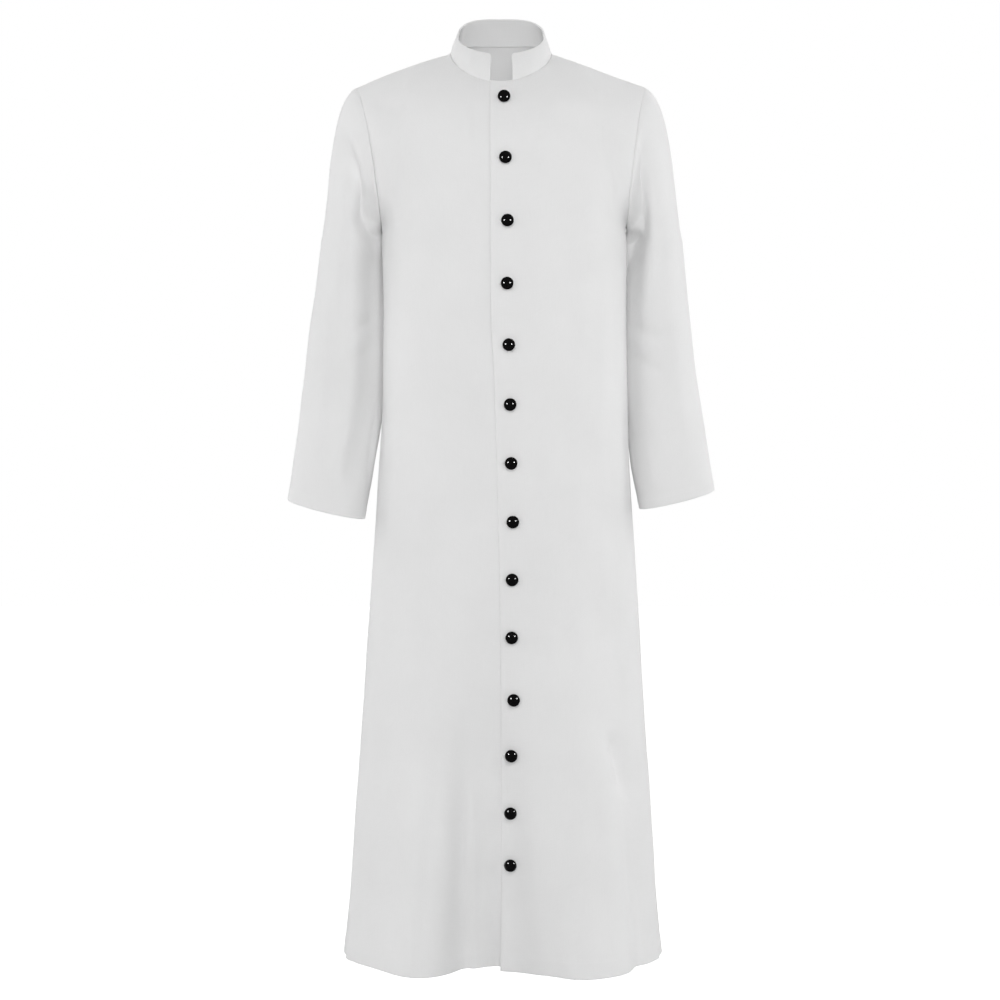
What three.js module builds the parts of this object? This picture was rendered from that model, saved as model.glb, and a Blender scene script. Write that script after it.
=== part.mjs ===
// A long white clerical robe, worn shape with no wearer: two fronts that lap over each other and
// button from the neck to the shin, one back, two set-in sleeves and a standing collar with a notch.
// Millimetres, +Z up, the front faces -Y, and +X is the wearer's left side.
// The origin is the middle of the neck base, level with the side neck points that rest on a wearer.
import * as THREE from "three";

// Cloth
const WALL = 1.5;
const COLLAR_WALL = 2.4;
const SEAM_GAP = 0.3;
const LAP = WALL + 0.4; // the over front is moved out by this where it lies on the under front

// Heights of the main levels
const UNDERARM_Z = -275;
const BUST_Z = -330;
const HEM_Z = -1406;

// Neck base, where the collar is sewn on: an oval that dips at the front and rises at the back
const NECK_HALF = 78;
const NECK_DEPTH = 69;
const NECK_Y = -5;
const NECK_SIDE_Z = -8;
const NECK_FRONT_Z = -65;
const NECK_BACK_Z = 18;

// Free rim of the collar, a flat tilted oval
const RIM_HALF = 66.5;
const RIM_DEPTH = 58;
const RIM_Y = 2;
const RIM_FRONT_Z = -18;
const RIM_BACK_Z = 61.5;
const RIM_BACK_ROUND = 2.9; // the back half is squarer than an oval, which would be 2
const COLLAR_BOW = 2.5; // the collar's band curves out by this half way up

// Shoulder tip, and the armhole that hangs from it
const TIP = new THREE.Vector3(223, 0, -60);
const SHOULDER_BOW = { right: 2.8, left: -0.5 }; // rise of each shoulder seam over a straight line
const ARMHOLE_FRONT = 72;
const ARMHOLE_BACK = 76;
const ARMHOLE_ROWS = 10;
const SIDE_ROWS = 2;
const SKIRT_ROWS = 12;
const ARMHOLE_SHARE = 0.84; // of the way from the shoulder tip down to the bust level
const NECK_SHARE = 0.46; // of a quarter of the body, from its centre line, hangs from the neck

// Half width across the armhole seam, by height
const ARMHOLE = [
  { z: -60, half: 223 },
  { z: -87, half: 214.5 },
  { z: -118, half: 207.5 },
  { z: -149, half: 202.5 },
  { z: -175, half: 198.5 },
  { z: -210, half: 194.5 },
  { z: -240, half: 191.5 },
  { z: -275, half: 189 },
];

// Level sections of the body from the underarm to the hem, and how squarely each is rounded
const BODY = [
  { z: -275, half: 189, front: 120, back: 112, round: 2.5 },
  { z: -330, half: 187.5, front: 123, back: 104, round: 2.5 },
  { z: -388, half: 186.5, front: 124, back: 98, round: 2.5 },
  { z: -500, half: 187.5, front: 124, back: 99, round: 2.5 },
  { z: -590, half: 190.5, front: 123, back: 107, round: 2.45 },
  { z: -730, half: 199, front: 121, back: 119, round: 2.4 },
  { z: -915, half: 211, front: 118, back: 129, round: 2.3 },
  { z: -1100, half: 222.5, front: 116, back: 139, round: 2.25 },
  { z: -1290, half: 235, front: 115, back: 150, round: 2.2 },
  { z: -1406, half: 243, front: 115, back: 157, round: 2.2 },
];

// The body hangs a little towards the wearer's left
const LEAN = [
  { z: -60, shift: 0 },
  { z: -150, shift: 2.5 },
  { z: -275, shift: 5 },
  { z: -400, shift: 6 },
  { z: -700, shift: 5 },
  { z: -1000, shift: 4 },
  { z: -1406, shift: 2.5 },
];

// Skirt folds. angle: degrees round from the centre front, at the hem. spread: half width in degrees.
// out: how far it stands out at the hem, or in if negative. top: where it starts. drift: degrees
// that its top lies round from its foot.
const FOLDS = [
  { angle: -3, spread: 28, out: -48, top: -820, drift: 0 },
  { angle: -31, spread: 30, out: 35, top: -700, drift: 5 },
  { angle: 29, spread: 32, out: 53, top: -680, drift: -4 },
  { angle: -72, spread: 16, out: -7, top: -900, drift: 6 },
  { angle: 76, spread: 16, out: -6, top: -860, drift: -6 },
  { angle: 108, spread: 20, out: 17, top: -820, drift: 6 },
  { angle: 133, spread: 18, out: -20, top: -700, drift: 5 },
  { angle: 157, spread: 21, out: 27, top: -640, drift: 4 },
  { angle: 181, spread: 18, out: -22, top: -600, drift: 0 },
  { angle: 205, spread: 21, out: 25, top: -690, drift: -5 },
  { angle: 229, spread: 18, out: -19, top: -760, drift: -4 },
  { angle: 252, spread: 19, out: 15, top: -840, drift: -6 },
];
const FOLD_POWER = 1.35;

// How the cloth leaves the neck and shoulder seams, as a vector for each share of a quarter body
const FRONT_LEAVE = [
  { share: 0, x: 0, y: -140, z: -230 },
  { share: 0.18, x: 45, y: -165, z: -200 },
  { share: 0.28, x: 90, y: -215, z: -190 },
  { share: 0.37, x: 170, y: -255, z: -175 },
  { share: 0.46, x: 290, y: -285, z: -120 },
  { share: 0.54, x: 230, y: -290, z: -90 },
  { share: 0.62, x: 120, y: -300, z: -68 },
  { share: 0.7, x: 50, y: -300, z: -62 },
  { share: 0.8, x: 10, y: -300, z: -62 },
  { share: 1, x: -10, y: -290, z: -72 },
];
const BACK_LEAVE = [
  { share: 0, x: 0, y: 150, z: -230 },
  { share: 0.18, x: 60, y: 205, z: -225 },
  { share: 0.28, x: 110, y: 260, z: -205 },
  { share: 0.37, x: 200, y: 330, z: -165 },
  { share: 0.46, x: 300, y: 400, z: -120 },
  { share: 0.54, x: 230, y: 385, z: -90 },
  { share: 0.62, x: 120, y: 365, z: -68 },
  { share: 0.7, x: 50, y: 350, z: -62 },
  { share: 0.8, x: 10, y: 330, z: -60 },
  { share: 1, x: -10, y: 280, z: -62 },
];
const BUST_PULL = 310; // length of the columns' tangent where they reach the bust level

// Closure: the over front's free edge by height, and the columns that both fronts share from it
const OVER_EDGE = [
  { z: -65, x: -17 },
  { z: -435, x: -15 },
  { z: -510, x: -11 },
  { z: -850, x: -2 },
  { z: -1406, x: 2 },
];
const CLOSURE_STEPS = [0, 17, 34, 61];
const COLLAR_START = 2; // the closure column of the over front where the collar starts

// Sleeve sections, from the biceps to the cuff: how far the inner and outer sides of each sleeve lie
// from the middle of the robe.
const ARM_WIDTH = [
  { z: -300, innerRight: 184.5, outerRight: 279.5, innerLeft: 194.5, outerLeft: 281.5 },
  { z: -360, innerRight: 181.5, outerRight: 287.5, innerLeft: 192, outerLeft: 288 },
  { z: -435, innerRight: 180, outerRight: 299.5, innerLeft: 191.5, outerLeft: 296 },
  { z: -500, innerRight: 181.5, outerRight: 306.5, innerLeft: 192.5, outerLeft: 303 },
  { z: -560, innerRight: 186.5, outerRight: 313, innerLeft: 197.2, outerLeft: 311 },
  { z: -636, innerRight: 198.5, outerRight: 322, innerLeft: 201.5, outerLeft: 321.5 },
  { z: -704.5, innerRight: 212, outerRight: 330.5, innerLeft: 215, outerLeft: 330.5 },
];

// The same sections' middle in y and half depth. tilt is how much higher the outer side lies than
// the inner side, dip how much lower the front lies.
const ARM_DEPTH = [
  { z: -300, y: 14, depth: 72, tilt: 8, dip: 0 },
  { z: -360, y: 22, depth: 68, tilt: 10, dip: 0 },
  { z: -435, y: 28, depth: 62, tilt: 13, dip: 0 },
  { z: -500, y: 27, depth: 57, tilt: 16, dip: 1 },
  { z: -560, y: 22, depth: 52, tilt: 19, dip: 2 },
  { z: -636, y: 12, depth: 47, tilt: 24, dip: 4 },
  { z: -704.5, y: 2, depth: 43, tilt: 29, dip: 5 },
];
const BICEPS_Z = -300;
const CUFF_Z = -704.5;
const CAP_LEAVE = { x: 135, z: -70 }; // how the top of the sleeve leaves the shoulder tip
const CAP_ARRIVE = { x: 40, z: -180 }; // and how it comes down to the biceps
const ARMPIT_LEAVE = { x: 18.5, z: -17 };
const ARMPIT_ARRIVE = { x: -2, z: -30 };
const CAP_ROWS = 6;
const ARM_ROWS = 10;
const CUFF_SHIFT = 7.5; // the wearer's right cuff hangs this much lower, the left this much higher

// Soft troughs on each sleeve that run from the cap down into the armpit, one in front, one behind.
// round: turns round the sleeve from the underarm. along: rows from the armhole, 1 at the biceps.
const ARMPIT_TROUGHS = [
  [
    { round: 0.37, along: 0.35 },
    { round: 0.27, along: 0.45 },
    { round: 0.16, along: 0.65 },
    { round: 0.06, along: 0.95 },
  ],
  [
    { round: 0.66, along: 0.4 },
    { round: 0.75, along: 0.52 },
    { round: 0.85, along: 0.72 },
    { round: 0.94, along: 1.0 },
  ],
];
const TROUGH_DEPTH = 6;
const TROUGH_WIDTH = 15;
const BICEPS_GIRTH = 390;
const CAP_LENGTH = 150;

// Buttons: domed, on a short shank, sewn to the over front
const BUTTON_RADIUS = 9.5;
const BUTTON_HEIGHT = 7.5;
const SHANK_RADIUS = 2.6;
const SHANK_HEIGHT = 1.6;
const BUTTON_EDGE = 1.1; // height of the widest ring over the button's flat underside
const BUTTON_SIDES = 12;
const DOME_RINGS = 3;
const BUTTONS = [
  { z: -91, x: 4.5 },
  { z: -186.5, x: 6.5 },
  { z: -281.5, x: 9.5 },
  { z: -375.5, x: 9 },
  { z: -467, x: 11.5 },
  { z: -556, x: 13.5 },
  { z: -643.5, x: 15 },
  { z: -731, x: 17.5 },
  { z: -817, x: 16.5 },
  { z: -903.5, x: 16 },
  { z: -997, x: 19 },
  { z: -1081, x: 15.5 },
  { z: -1168, x: 14.5 },
  { z: -1247, x: 14.5 },
];

const CLOTH = new THREE.MeshStandardMaterial({ color: 0xdedede, roughness: 0.85, metalness: 0 });
const BUTTON_BLACK = new THREE.MeshStandardMaterial({ color: 0x0b0b0c, roughness: 0.18, metalness: 0 });

const DEGREE = Math.PI / 180;
const SPLIT = new THREE.Vector3(1, 2, 3); // ranks the corners of a rim, for choosing its diagonals
const { lerp, clamp, smoothstep } = THREE.MathUtils;

// A smooth curve through one column of a table, read by another column.
function curve(table, key, by = "z") {
  const at = table.map((row) => row[by]);
  const value = table.map((row) => row[key]);
  const last = table.length - 1;
  const slope = value.map((_, i) => {
    const a = Math.max(i - 1, 0);
    const b = Math.min(i + 1, last);
    return (value[b] - value[a]) / (at[b] - at[a]);
  });
  const down = at[last] < at[0];
  return (where) => {
    const x = down ? clamp(where, at[last], at[0]) : clamp(where, at[0], at[last]);
    let i = 0;
    while (i < last - 1 && (down ? x < at[i + 1] : x > at[i + 1])) i += 1;
    const width = at[i + 1] - at[i];
    const t = (x - at[i]) / width;
    return (
      value[i] +
      (value[i + 1] - value[i]) * t * t * (3 - 2 * t) +
      width * t * (1 - t) * (slope[i] * (1 - t) - slope[i + 1] * t)
    );
  };
}

const armholeHalf = curve(ARMHOLE, "half");
const bodyHalf = curve(BODY, "half");
const bodyFront = curve(BODY, "front");
const bodyBack = curve(BODY, "back");
const bodyRound = curve(BODY, "round");
const lean = curve(LEAN, "shift");
const overEdge = curve(OVER_EDGE, "x");
const leaves = [FRONT_LEAVE, BACK_LEAVE].map((table) =>
  ["x", "y", "z"].map((key) => curve(table, key, "share")),
);
const arm = Object.fromEntries(
  [ARM_WIDTH, ARM_DEPTH].flatMap((table) => Object.keys(table[0]).map((key) => [key, curve(table, key)])),
);

// A cubic from point a, leaving along da, to point b, arriving along db.
function hermite(a, da, b, db, t) {
  const back = (1 - t) * (1 - t);
  return new THREE.Vector3()
    .addScaledVector(a, (1 + 2 * t) * back)
    .addScaledVector(da, t * back)
    .addScaledVector(b, t * t * (3 - 2 * t))
    .addScaledVector(db, t * t * (t - 1));
}

// How far the skirt's folds push the cloth out at an angle and a height.
function foldOut(angle, z) {
  let out = 0;
  for (const fold of FOLDS) {
    const grown = clamp((fold.top - z) / (fold.top - HEM_Z), 0, 1);
    const centre = fold.angle + fold.drift * (1 - grown);
    const away = (((angle - centre + 180) % 360) + 360) % 360 - 180;
    if (grown > 0 && Math.abs(away) < fold.spread) {
      out += fold.out * grown ** FOLD_POWER * 0.5 * (1 + Math.cos((Math.PI * away) / fold.spread));
    }
  }
  return out;
}

// The body below the bust: a point at an angle round from the centre front, at a height.
function bodySection(angle, z) {
  const sine = Math.sin(angle * DEGREE);
  const cosine = Math.cos(angle * DEGREE);
  const half = bodyHalf(z);
  const depth = cosine > 0 ? bodyFront(z) : bodyBack(z);
  const n = bodyRound(z);
  const y = -Math.sign(cosine) * depth * Math.max(0, 1 - Math.abs(sine) ** n) ** (1 / n);
  const outward = new THREE.Vector2(sine / half, -cosine / depth).normalize();
  const out = foldOut(angle, z);
  return new THREE.Vector3(lean(z) + half * sine + outward.x * out, y + outward.y * out, z);
}

// The neck base, at an angle round from the front.
function neckBase(angle) {
  const a = angle * DEGREE;
  const middle = (NECK_FRONT_Z + NECK_BACK_Z + 2 * NECK_SIDE_Z) / 4;
  const swing = (NECK_FRONT_Z - NECK_BACK_Z) / 2;
  return new THREE.Vector3(
    NECK_HALF * Math.sin(a),
    NECK_Y - NECK_DEPTH * Math.cos(a),
    middle + swing * Math.cos(a) + (middle - NECK_SIDE_Z) * Math.cos(2 * a),
  );
}

function collarRim(angle) {
  const sine = Math.sin(angle * DEGREE);
  const cosine = Math.cos(angle * DEGREE);
  const n = cosine > 0 ? 2 : RIM_BACK_ROUND;
  const squared = (Math.abs(sine) ** n + Math.abs(cosine) ** n) ** (1 / n);
  return new THREE.Vector3(
    (RIM_HALF * sine) / squared,
    RIM_Y - (RIM_DEPTH * cosine) / squared,
    (RIM_FRONT_Z + RIM_BACK_Z) / 2 + (((RIM_FRONT_Z - RIM_BACK_Z) / 2) * cosine) / squared,
  );
}

// The shoulder seam. side: 1 on the wearer's left. along: 0 at the neck, 1 at the shoulder tip.
function shoulderSeam(side, along) {
  const seam = neckBase(side * 90).lerp(new THREE.Vector3(side * TIP.x, TIP.y, TIP.z), along);
  seam.z += 4 * along * (1 - along) * (side < 0 ? SHOULDER_BOW.right : SHOULDER_BOW.left);
  return seam;
}

// The armhole seam. side: 1 on the wearer's left. face: -1 in front, 1 behind. turn: 0 at the
// shoulder tip, pi at the underarm.
function armhole(side, face, turn) {
  const z = TIP.z - ((TIP.z - UNDERARM_Z) / 2) * (1 - Math.cos(turn));
  const depth = face < 0 ? ARMHOLE_FRONT : ARMHOLE_BACK;
  return new THREE.Vector3(side * armholeHalf(z) + lean(z), face * depth * Math.sin(turn), z);
}

// The panel's outer edge above the bust: the armhole, then the side seam.
function panelEdge(side, face, down) {
  if (down <= ARMHOLE_SHARE) return armhole(side, face, (Math.PI * down) / ARMHOLE_SHARE);
  const z = lerp(UNDERARM_Z, BUST_Z, (down - ARMHOLE_SHARE) / (1 - ARMHOLE_SHARE));
  return new THREE.Vector3(side * bodyHalf(z) + lean(z), 0, z);
}

// One column of cloth between the neck or shoulder seam and the bust level. face: -1 on the front,
// 1 on the back.
function column(face, angle, down) {
  const middle = face < 0 ? 0 : 180;
  const side = -face * Math.sign(angle - middle);
  const share = Math.abs(angle - middle) / 90;
  const top = share <= NECK_SHARE
    ? neckBase(middle + (angle - middle) / NECK_SHARE)
    : shoulderSeam(side, (share - NECK_SHARE) / (1 - NECK_SHARE));
  const [x, y, z] = leaves[face < 0 ? 0 : 1].map((leave) => leave(share));
  const bust = bodySection(angle, BUST_Z);
  const arrive = bodySection(angle, BUST_Z - 1).sub(bust).multiplyScalar(BUST_PULL);
  return hermite(top, new THREE.Vector3(side * x, y, z), bust, arrive, down);
}

// The front or back cloth. angle: degrees round from the centre front, -90 to 90 on the front and 90
// to 270 on the back. down: 0 at the neck and shoulder seams, 1 at the bust level, 2 at the hem.
const bodyCloth = (face) => (angle, down) => {
  if (down >= 1) return bodySection(angle, lerp(BUST_Z, HEM_Z, down - 1));
  const middle = face < 0 ? 0 : 180;
  const turn = angle < middle ? -1 : 1;
  const pull = smoothstep(Math.abs(angle - middle) / 90, 0.45, 1);
  const edge = middle + 90 * turn;
  const miss = panelEdge(-face * turn, face, down).sub(column(face, edge, down));
  return column(face, angle, down).addScaledVector(miss, pull);
};
const frontCloth = bodyCloth(-1);
const backCloth = bodyCloth(1);

// The sleeve's section. round: turns from the inner side, by way of the front. t: 0 biceps, 1 cuff.
function armSection(side, round, t) {
  const z = lerp(BICEPS_Z, CUFF_Z, t);
  const cosine = Math.cos(2 * Math.PI * round);
  const sine = Math.sin(2 * Math.PI * round);
  const inner = (side < 0 ? arm.innerRight : arm.innerLeft)(z);
  const outer = (side < 0 ? arm.outerRight : arm.outerLeft)(z);
  return new THREE.Vector3(
    side * ((inner + outer) / 2 - ((outer - inner) / 2) * cosine),
    arm.y(z) - arm.depth(z) * sine,
    z - (arm.tilt(z) / 2) * cosine - arm.dip(z) * sine + side * CUFF_SHIFT * t,
  );
}

// How deep a sleeve's armpit troughs are at a place on it.
function troughDepth(round, along) {
  let depth = 0;
  for (const path of ARMPIT_TROUGHS) {
    let nearest = Infinity;
    for (let i = 0; i + 1 < path.length; i += 1) {
      const from = new THREE.Vector2(path[i].round * BICEPS_GIRTH, path[i].along * CAP_LENGTH);
      const to = new THREE.Vector2(path[i + 1].round * BICEPS_GIRTH, path[i + 1].along * CAP_LENGTH);
      const here = new THREE.Vector2(round * BICEPS_GIRTH, along * CAP_LENGTH);
      const run = to.clone().sub(from);
      const t = clamp(here.clone().sub(from).dot(run) / run.lengthSq(), 0, 1);
      nearest = Math.min(nearest, here.distanceTo(from.addScaledVector(run, t)));
    }
    depth += TROUGH_DEPTH * Math.exp(-((nearest / TROUGH_WIDTH) ** 2));
  }
  return depth * smoothstep(along, 0.05, 0.35);
}

// A direction between two others in a sleeve's own plane, with y added.
function blend(from, to, share, side, y) {
  return new THREE.Vector3(side * lerp(from.x, to.x, share), y, lerp(from.z, to.z, share));
}

// The sleeve before its troughs. along: 0 at the armhole, 1 at the biceps, 2 at the cuff.
function sleeveForm(side, round, along) {
  if (along >= 1) return armSection(side, round, along - 1);
  const face = round <= 0.5 ? -1 : 1;
  const up = (1 - Math.cos(2 * Math.PI * round)) / 2;
  const start = armhole(side, face, Math.PI * Math.abs(1 - 2 * round));
  const swell = 10 * Math.sin(2 * Math.PI * round);
  return hermite(
    start,
    blend(ARMPIT_LEAVE, CAP_LEAVE, up, side, -swell),
    armSection(side, round, 0),
    blend(ARMPIT_ARRIVE, CAP_ARRIVE, up, side, 0),
    along,
  );
}

// The unit normal of a surface, on the side that its first direction crossed with its second
// leaves behind, from small steps that stay inside its limits.
function normalOf(surface, u, v, [uLow, uHigh, uStep], [vLow, vHigh, vStep]) {
  const across = surface(Math.min(u + uStep, uHigh), v).sub(surface(Math.max(u - uStep, uLow), v));
  const down = surface(u, Math.min(v + vStep, vHigh)).sub(surface(u, Math.max(v - vStep, vLow)));
  return down.cross(across).normalize();
}

const FRONT_LIMITS = [[-90, 90, 0.2], [0, 2, 0.002]];
const BACK_LIMITS = [[90, 270, 0.2], [0, 2, 0.002]];
const SLEEVE_LIMITS = [[-1, 2, 0.002], [0, 2, 0.002]];

function sleeve(side, round, along) {
  const turns = round - Math.floor(round);
  const form = (r, a) => sleeveForm(side, r - Math.floor(r), a);
  const normal = normalOf(form, turns, along, ...SLEEVE_LIMITS).multiplyScalar(side);
  return form(turns, along).addScaledVector(normal, -troughDepth(turns, along));
}

// Panels of cloth as grids of outer points and normals. Each grid is a list of rows.
function grid(rows, columnsAt, point, normal) {
  return rows.map((v) => columnsAt(v).map((u) => ({ point: point(u, v), normal: normal(u, v) })));
}

// The body angle at which the front has a given x, by halving.
function angleAtX(x, down) {
  let low = -25;
  let high = 30;
  for (let i = 0; i < 40; i += 1) {
    const middle = (low + high) / 2;
    if (frontCloth(middle, down).x < x) low = middle;
    else high = middle;
  }
  return (low + high) / 2;
}

const BODY_ROWS = [
  ...Array.from({ length: ARMHOLE_ROWS }, (_, i) => (ARMHOLE_SHARE * i) / ARMHOLE_ROWS),
  ...Array.from({ length: SIDE_ROWS }, (_, i) => lerp(ARMHOLE_SHARE, 1, i / SIDE_ROWS)),
  ...Array.from({ length: SKIRT_ROWS + 1 }, (_, i) => 1 + i / SKIRT_ROWS),
];
const NECK_ANGLE = 90 * NECK_SHARE;
const SHOULDER_CELLS = 7;
const SHOULDER_ANGLES = Array.from(
  { length: SHOULDER_CELLS + 1 },
  (_, i) => lerp(NECK_ANGLE, 90, i / SHOULDER_CELLS),
);

// Closure columns at a row, from the over front's edge to the under front's edge.
const closureColumns = (down) => {
  const edge = overEdge(frontCloth(0, down).z);
  return CLOSURE_STEPS.map((step) => angleAtX(edge + step, down));
};

const frontNormal = (angle, down) => normalOf(frontCloth, angle, down, ...FRONT_LIMITS);
const backNormal = (angle, down) => normalOf(backCloth, angle, down, ...BACK_LIMITS);
const between = (from, to, cells) =>
  Array.from({ length: cells - 1 }, (_, i) => lerp(from, to, (i + 1) / cells));

const underFront = grid(
  BODY_ROWS,
  (down) => {
    const closure = closureColumns(down);
    const shoulder = SHOULDER_ANGLES.map((a) => -a).reverse();
    return [...shoulder, ...between(-NECK_ANGLE, closure[0], 5), ...closure];
  },
  frontCloth,
  frontNormal,
);
const overFront = grid(
  BODY_ROWS,
  (down) => {
    const closure = closureColumns(down);
    return [...closure, ...between(closure.at(-1), NECK_ANGLE, 4), ...SHOULDER_ANGLES];
  },
  frontCloth,
  frontNormal,
);
const back = grid(
  BODY_ROWS,
  () => [
    ...SHOULDER_ANGLES.map((a) => 180 - a).reverse(),
    ...between(180 - NECK_ANGLE, 180 + NECK_ANGLE, 10),
    ...SHOULDER_ANGLES.map((a) => 180 + a),
  ],
  backCloth,
  backNormal,
);
for (const row of overFront) {
  for (const cell of row.slice(0, CLOSURE_STEPS.length)) cell.point.addScaledVector(cell.normal, LAP);
}

// The collar's foot runs along the panels' neck edges, from the over front round to the under front.
const neckCells = CLOSURE_STEPS.length + 3;
const collarFoot = [
  ...overFront[0].slice(COLLAR_START, neckCells + 1),
  ...back[0].slice(SHOULDER_CELLS + 1, SHOULDER_CELLS + 10),
  ...underFront[0].slice(SHOULDER_CELLS, SHOULDER_CELLS + 6),
];
const COLLAR_ROWS = 4;
const collar = Array.from({ length: COLLAR_ROWS + 1 }, (_, i) => {
  const up = 1 - i / COLLAR_ROWS;
  return collarFoot.map(({ point }) => {
    const angle = Math.atan2(point.x / NECK_HALF, (NECK_Y - point.y) / NECK_DEPTH) / DEGREE;
    const rim = collarRim(angle);
    const run = rim.clone().sub(point);
    const round = new THREE.Vector3(Math.cos(angle * DEGREE), Math.sin(angle * DEGREE), 0);
    const normal = round.cross(run).normalize();
    const bow = 4 * up * (1 - up) * COLLAR_BOW;
    return { point: point.clone().addScaledVector(run, up).addScaledVector(normal, bow), normal };
  });
});

function sleeveGrid(side) {
  const rounds = Array.from({ length: 2 * ARMHOLE_ROWS }, (_, i) => i / (2 * ARMHOLE_ROWS));
  const rows = [
    ...Array.from({ length: CAP_ROWS }, (_, i) => i / CAP_ROWS),
    ...Array.from({ length: ARM_ROWS + 1 }, (_, i) => 1 + i / ARM_ROWS),
  ];
  const surface = (round, along) => sleeve(side, round, along);
  return grid(
    rows,
    () => rounds,
    surface,
    (round, along) => normalOf(surface, round, along, ...SLEEVE_LIMITS).multiplyScalar(side),
  );
}
const rightSleeve = sleeveGrid(-1);
const leftSleeve = sleeveGrid(1);

// Where the edges of pieces meet, they take one normal, so that their walls stay a seam gap apart.
function shareNormals(groups) {
  const edges = groups.flatMap((grids, group) =>
    grids.flatMap((rows) =>
      rows.flatMap((row, i) => {
        const end = i === 0 || i === rows.length - 1;
        const kept = row.filter((_, j) => end || j === 0 || j === row.length - 1);
        return kept.map((cell) => ({ cell, group }));
      }),
    ),
  );
  const done = new Set();
  for (const { cell } of edges) {
    if (done.has(cell)) continue;
    const meeting = edges.filter((other) => other.cell.point.distanceTo(cell.point) < 0.01);
    const sums = groups.map(() => new THREE.Vector3());
    for (const other of meeting) sums[other.group].add(other.cell.normal);
    const shared = new THREE.Vector3();
    for (const sum of sums) shared.add(sum.normalize());
    shared.normalize();
    for (const other of meeting) {
      other.cell.normal.copy(shared);
      done.add(other.cell);
    }
  }
}
shareNormals([[underFront, overFront, back], [rightSleeve, leftSleeve], [collar]]);

// Pulls a grid's edges in by half a seam gap, square to each edge. closed: its columns run all the
// way round, so that only its first and last rows are edges. hand: 1, or -1 for a mirrored grid.
function inset(rows, closed, hand) {
  const last = rows.length - 1;
  const side = rows[0].length - 1;
  const loops = closed
    ? [rows[0], rows[last].slice().reverse()]
    : [
        [
          ...rows[0],
          ...rows.slice(1, last).map((row) => row[side]),
          ...rows[last].slice().reverse(),
          ...rows.slice(1, last).map((row) => row[0]).reverse(),
        ],
      ];
  const moved = new Map();
  for (const loop of loops) {
    loop.forEach((cell, i) => {
      const before = loop.at(i - 1).point;
      const after = loop[(i + 1) % loop.length].point;
      const [a, b] = [cell.point.clone().sub(before), after.clone().sub(cell.point)].map((edge) =>
        edge.cross(cell.normal).normalize(),
      );
      const step = (hand * SEAM_GAP) / 2 / (1 + a.dot(b));
      moved.set(cell, { point: cell.point.clone().addScaledVector(a.add(b), step), normal: cell.normal });
    });
  }
  return rows.map((row) => row.map((cell) => moved.get(cell) ?? cell));
}

// A closed wall of cloth behind a grid of outer points.
function wall(name, rows, { thickness = WALL, closed = false, flipped = false } = {}) {
  const cells = inset(rows, closed, flipped ? -1 : 1);
  const wide = cells[0].length;
  const outer = cells.flat();
  const positions = [
    ...outer.flatMap(({ point }) => point.toArray()),
    ...outer.flatMap(({ point, normal }) => point.clone().addScaledVector(normal, -thickness).toArray()),
  ];
  const index = [];
  const quad = (a, b, c, d) => (flipped ? index.push(a, c, b, a, d, c) : index.push(a, b, c, a, c, d));
  const inside = outer.length;
  const across = closed ? wide : wide - 1;
  for (let i = 0; i + 1 < cells.length; i += 1) {
    for (let j = 0; j < across; j += 1) {
      const a = i * wide + j;
      const b = i * wide + ((j + 1) % wide);
      quad(a, a + wide, b + wide, b);
      quad(inside + a, inside + b, inside + b + wide, inside + a + wide);
    }
  }
  // The rims of two pieces that meet are split along the same corners, so that they stay apart.
  const first = (a, b) => outer[a].point.dot(SPLIT) < outer[b].point.dot(SPLIT);
  const rim = (a, b) => {
    if (first(a, b)) quad(a, b, inside + b, inside + a);
    else quad(b, inside + b, inside + a, a);
  };
  const foot = (cells.length - 1) * wide;
  for (let j = 0; j < across; j += 1) {
    rim(j, (j + 1) % wide);
    rim(foot + ((j + 1) % wide), foot + j);
  }
  for (let i = 0; !closed && i + 1 < cells.length; i += 1) {
    rim((i + 1) * wide, i * wide);
    rim(i * wide + wide - 1, (i + 1) * wide + wide - 1);
  }
  const geometry = new THREE.BufferGeometry();
  geometry.setAttribute("position", new THREE.Float32BufferAttribute(positions, 3));
  geometry.setIndex(index);
  geometry.computeVertexNormals();
  const mesh = new THREE.Mesh(geometry, CLOTH);
  mesh.name = name;
  return mesh;
}

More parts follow.
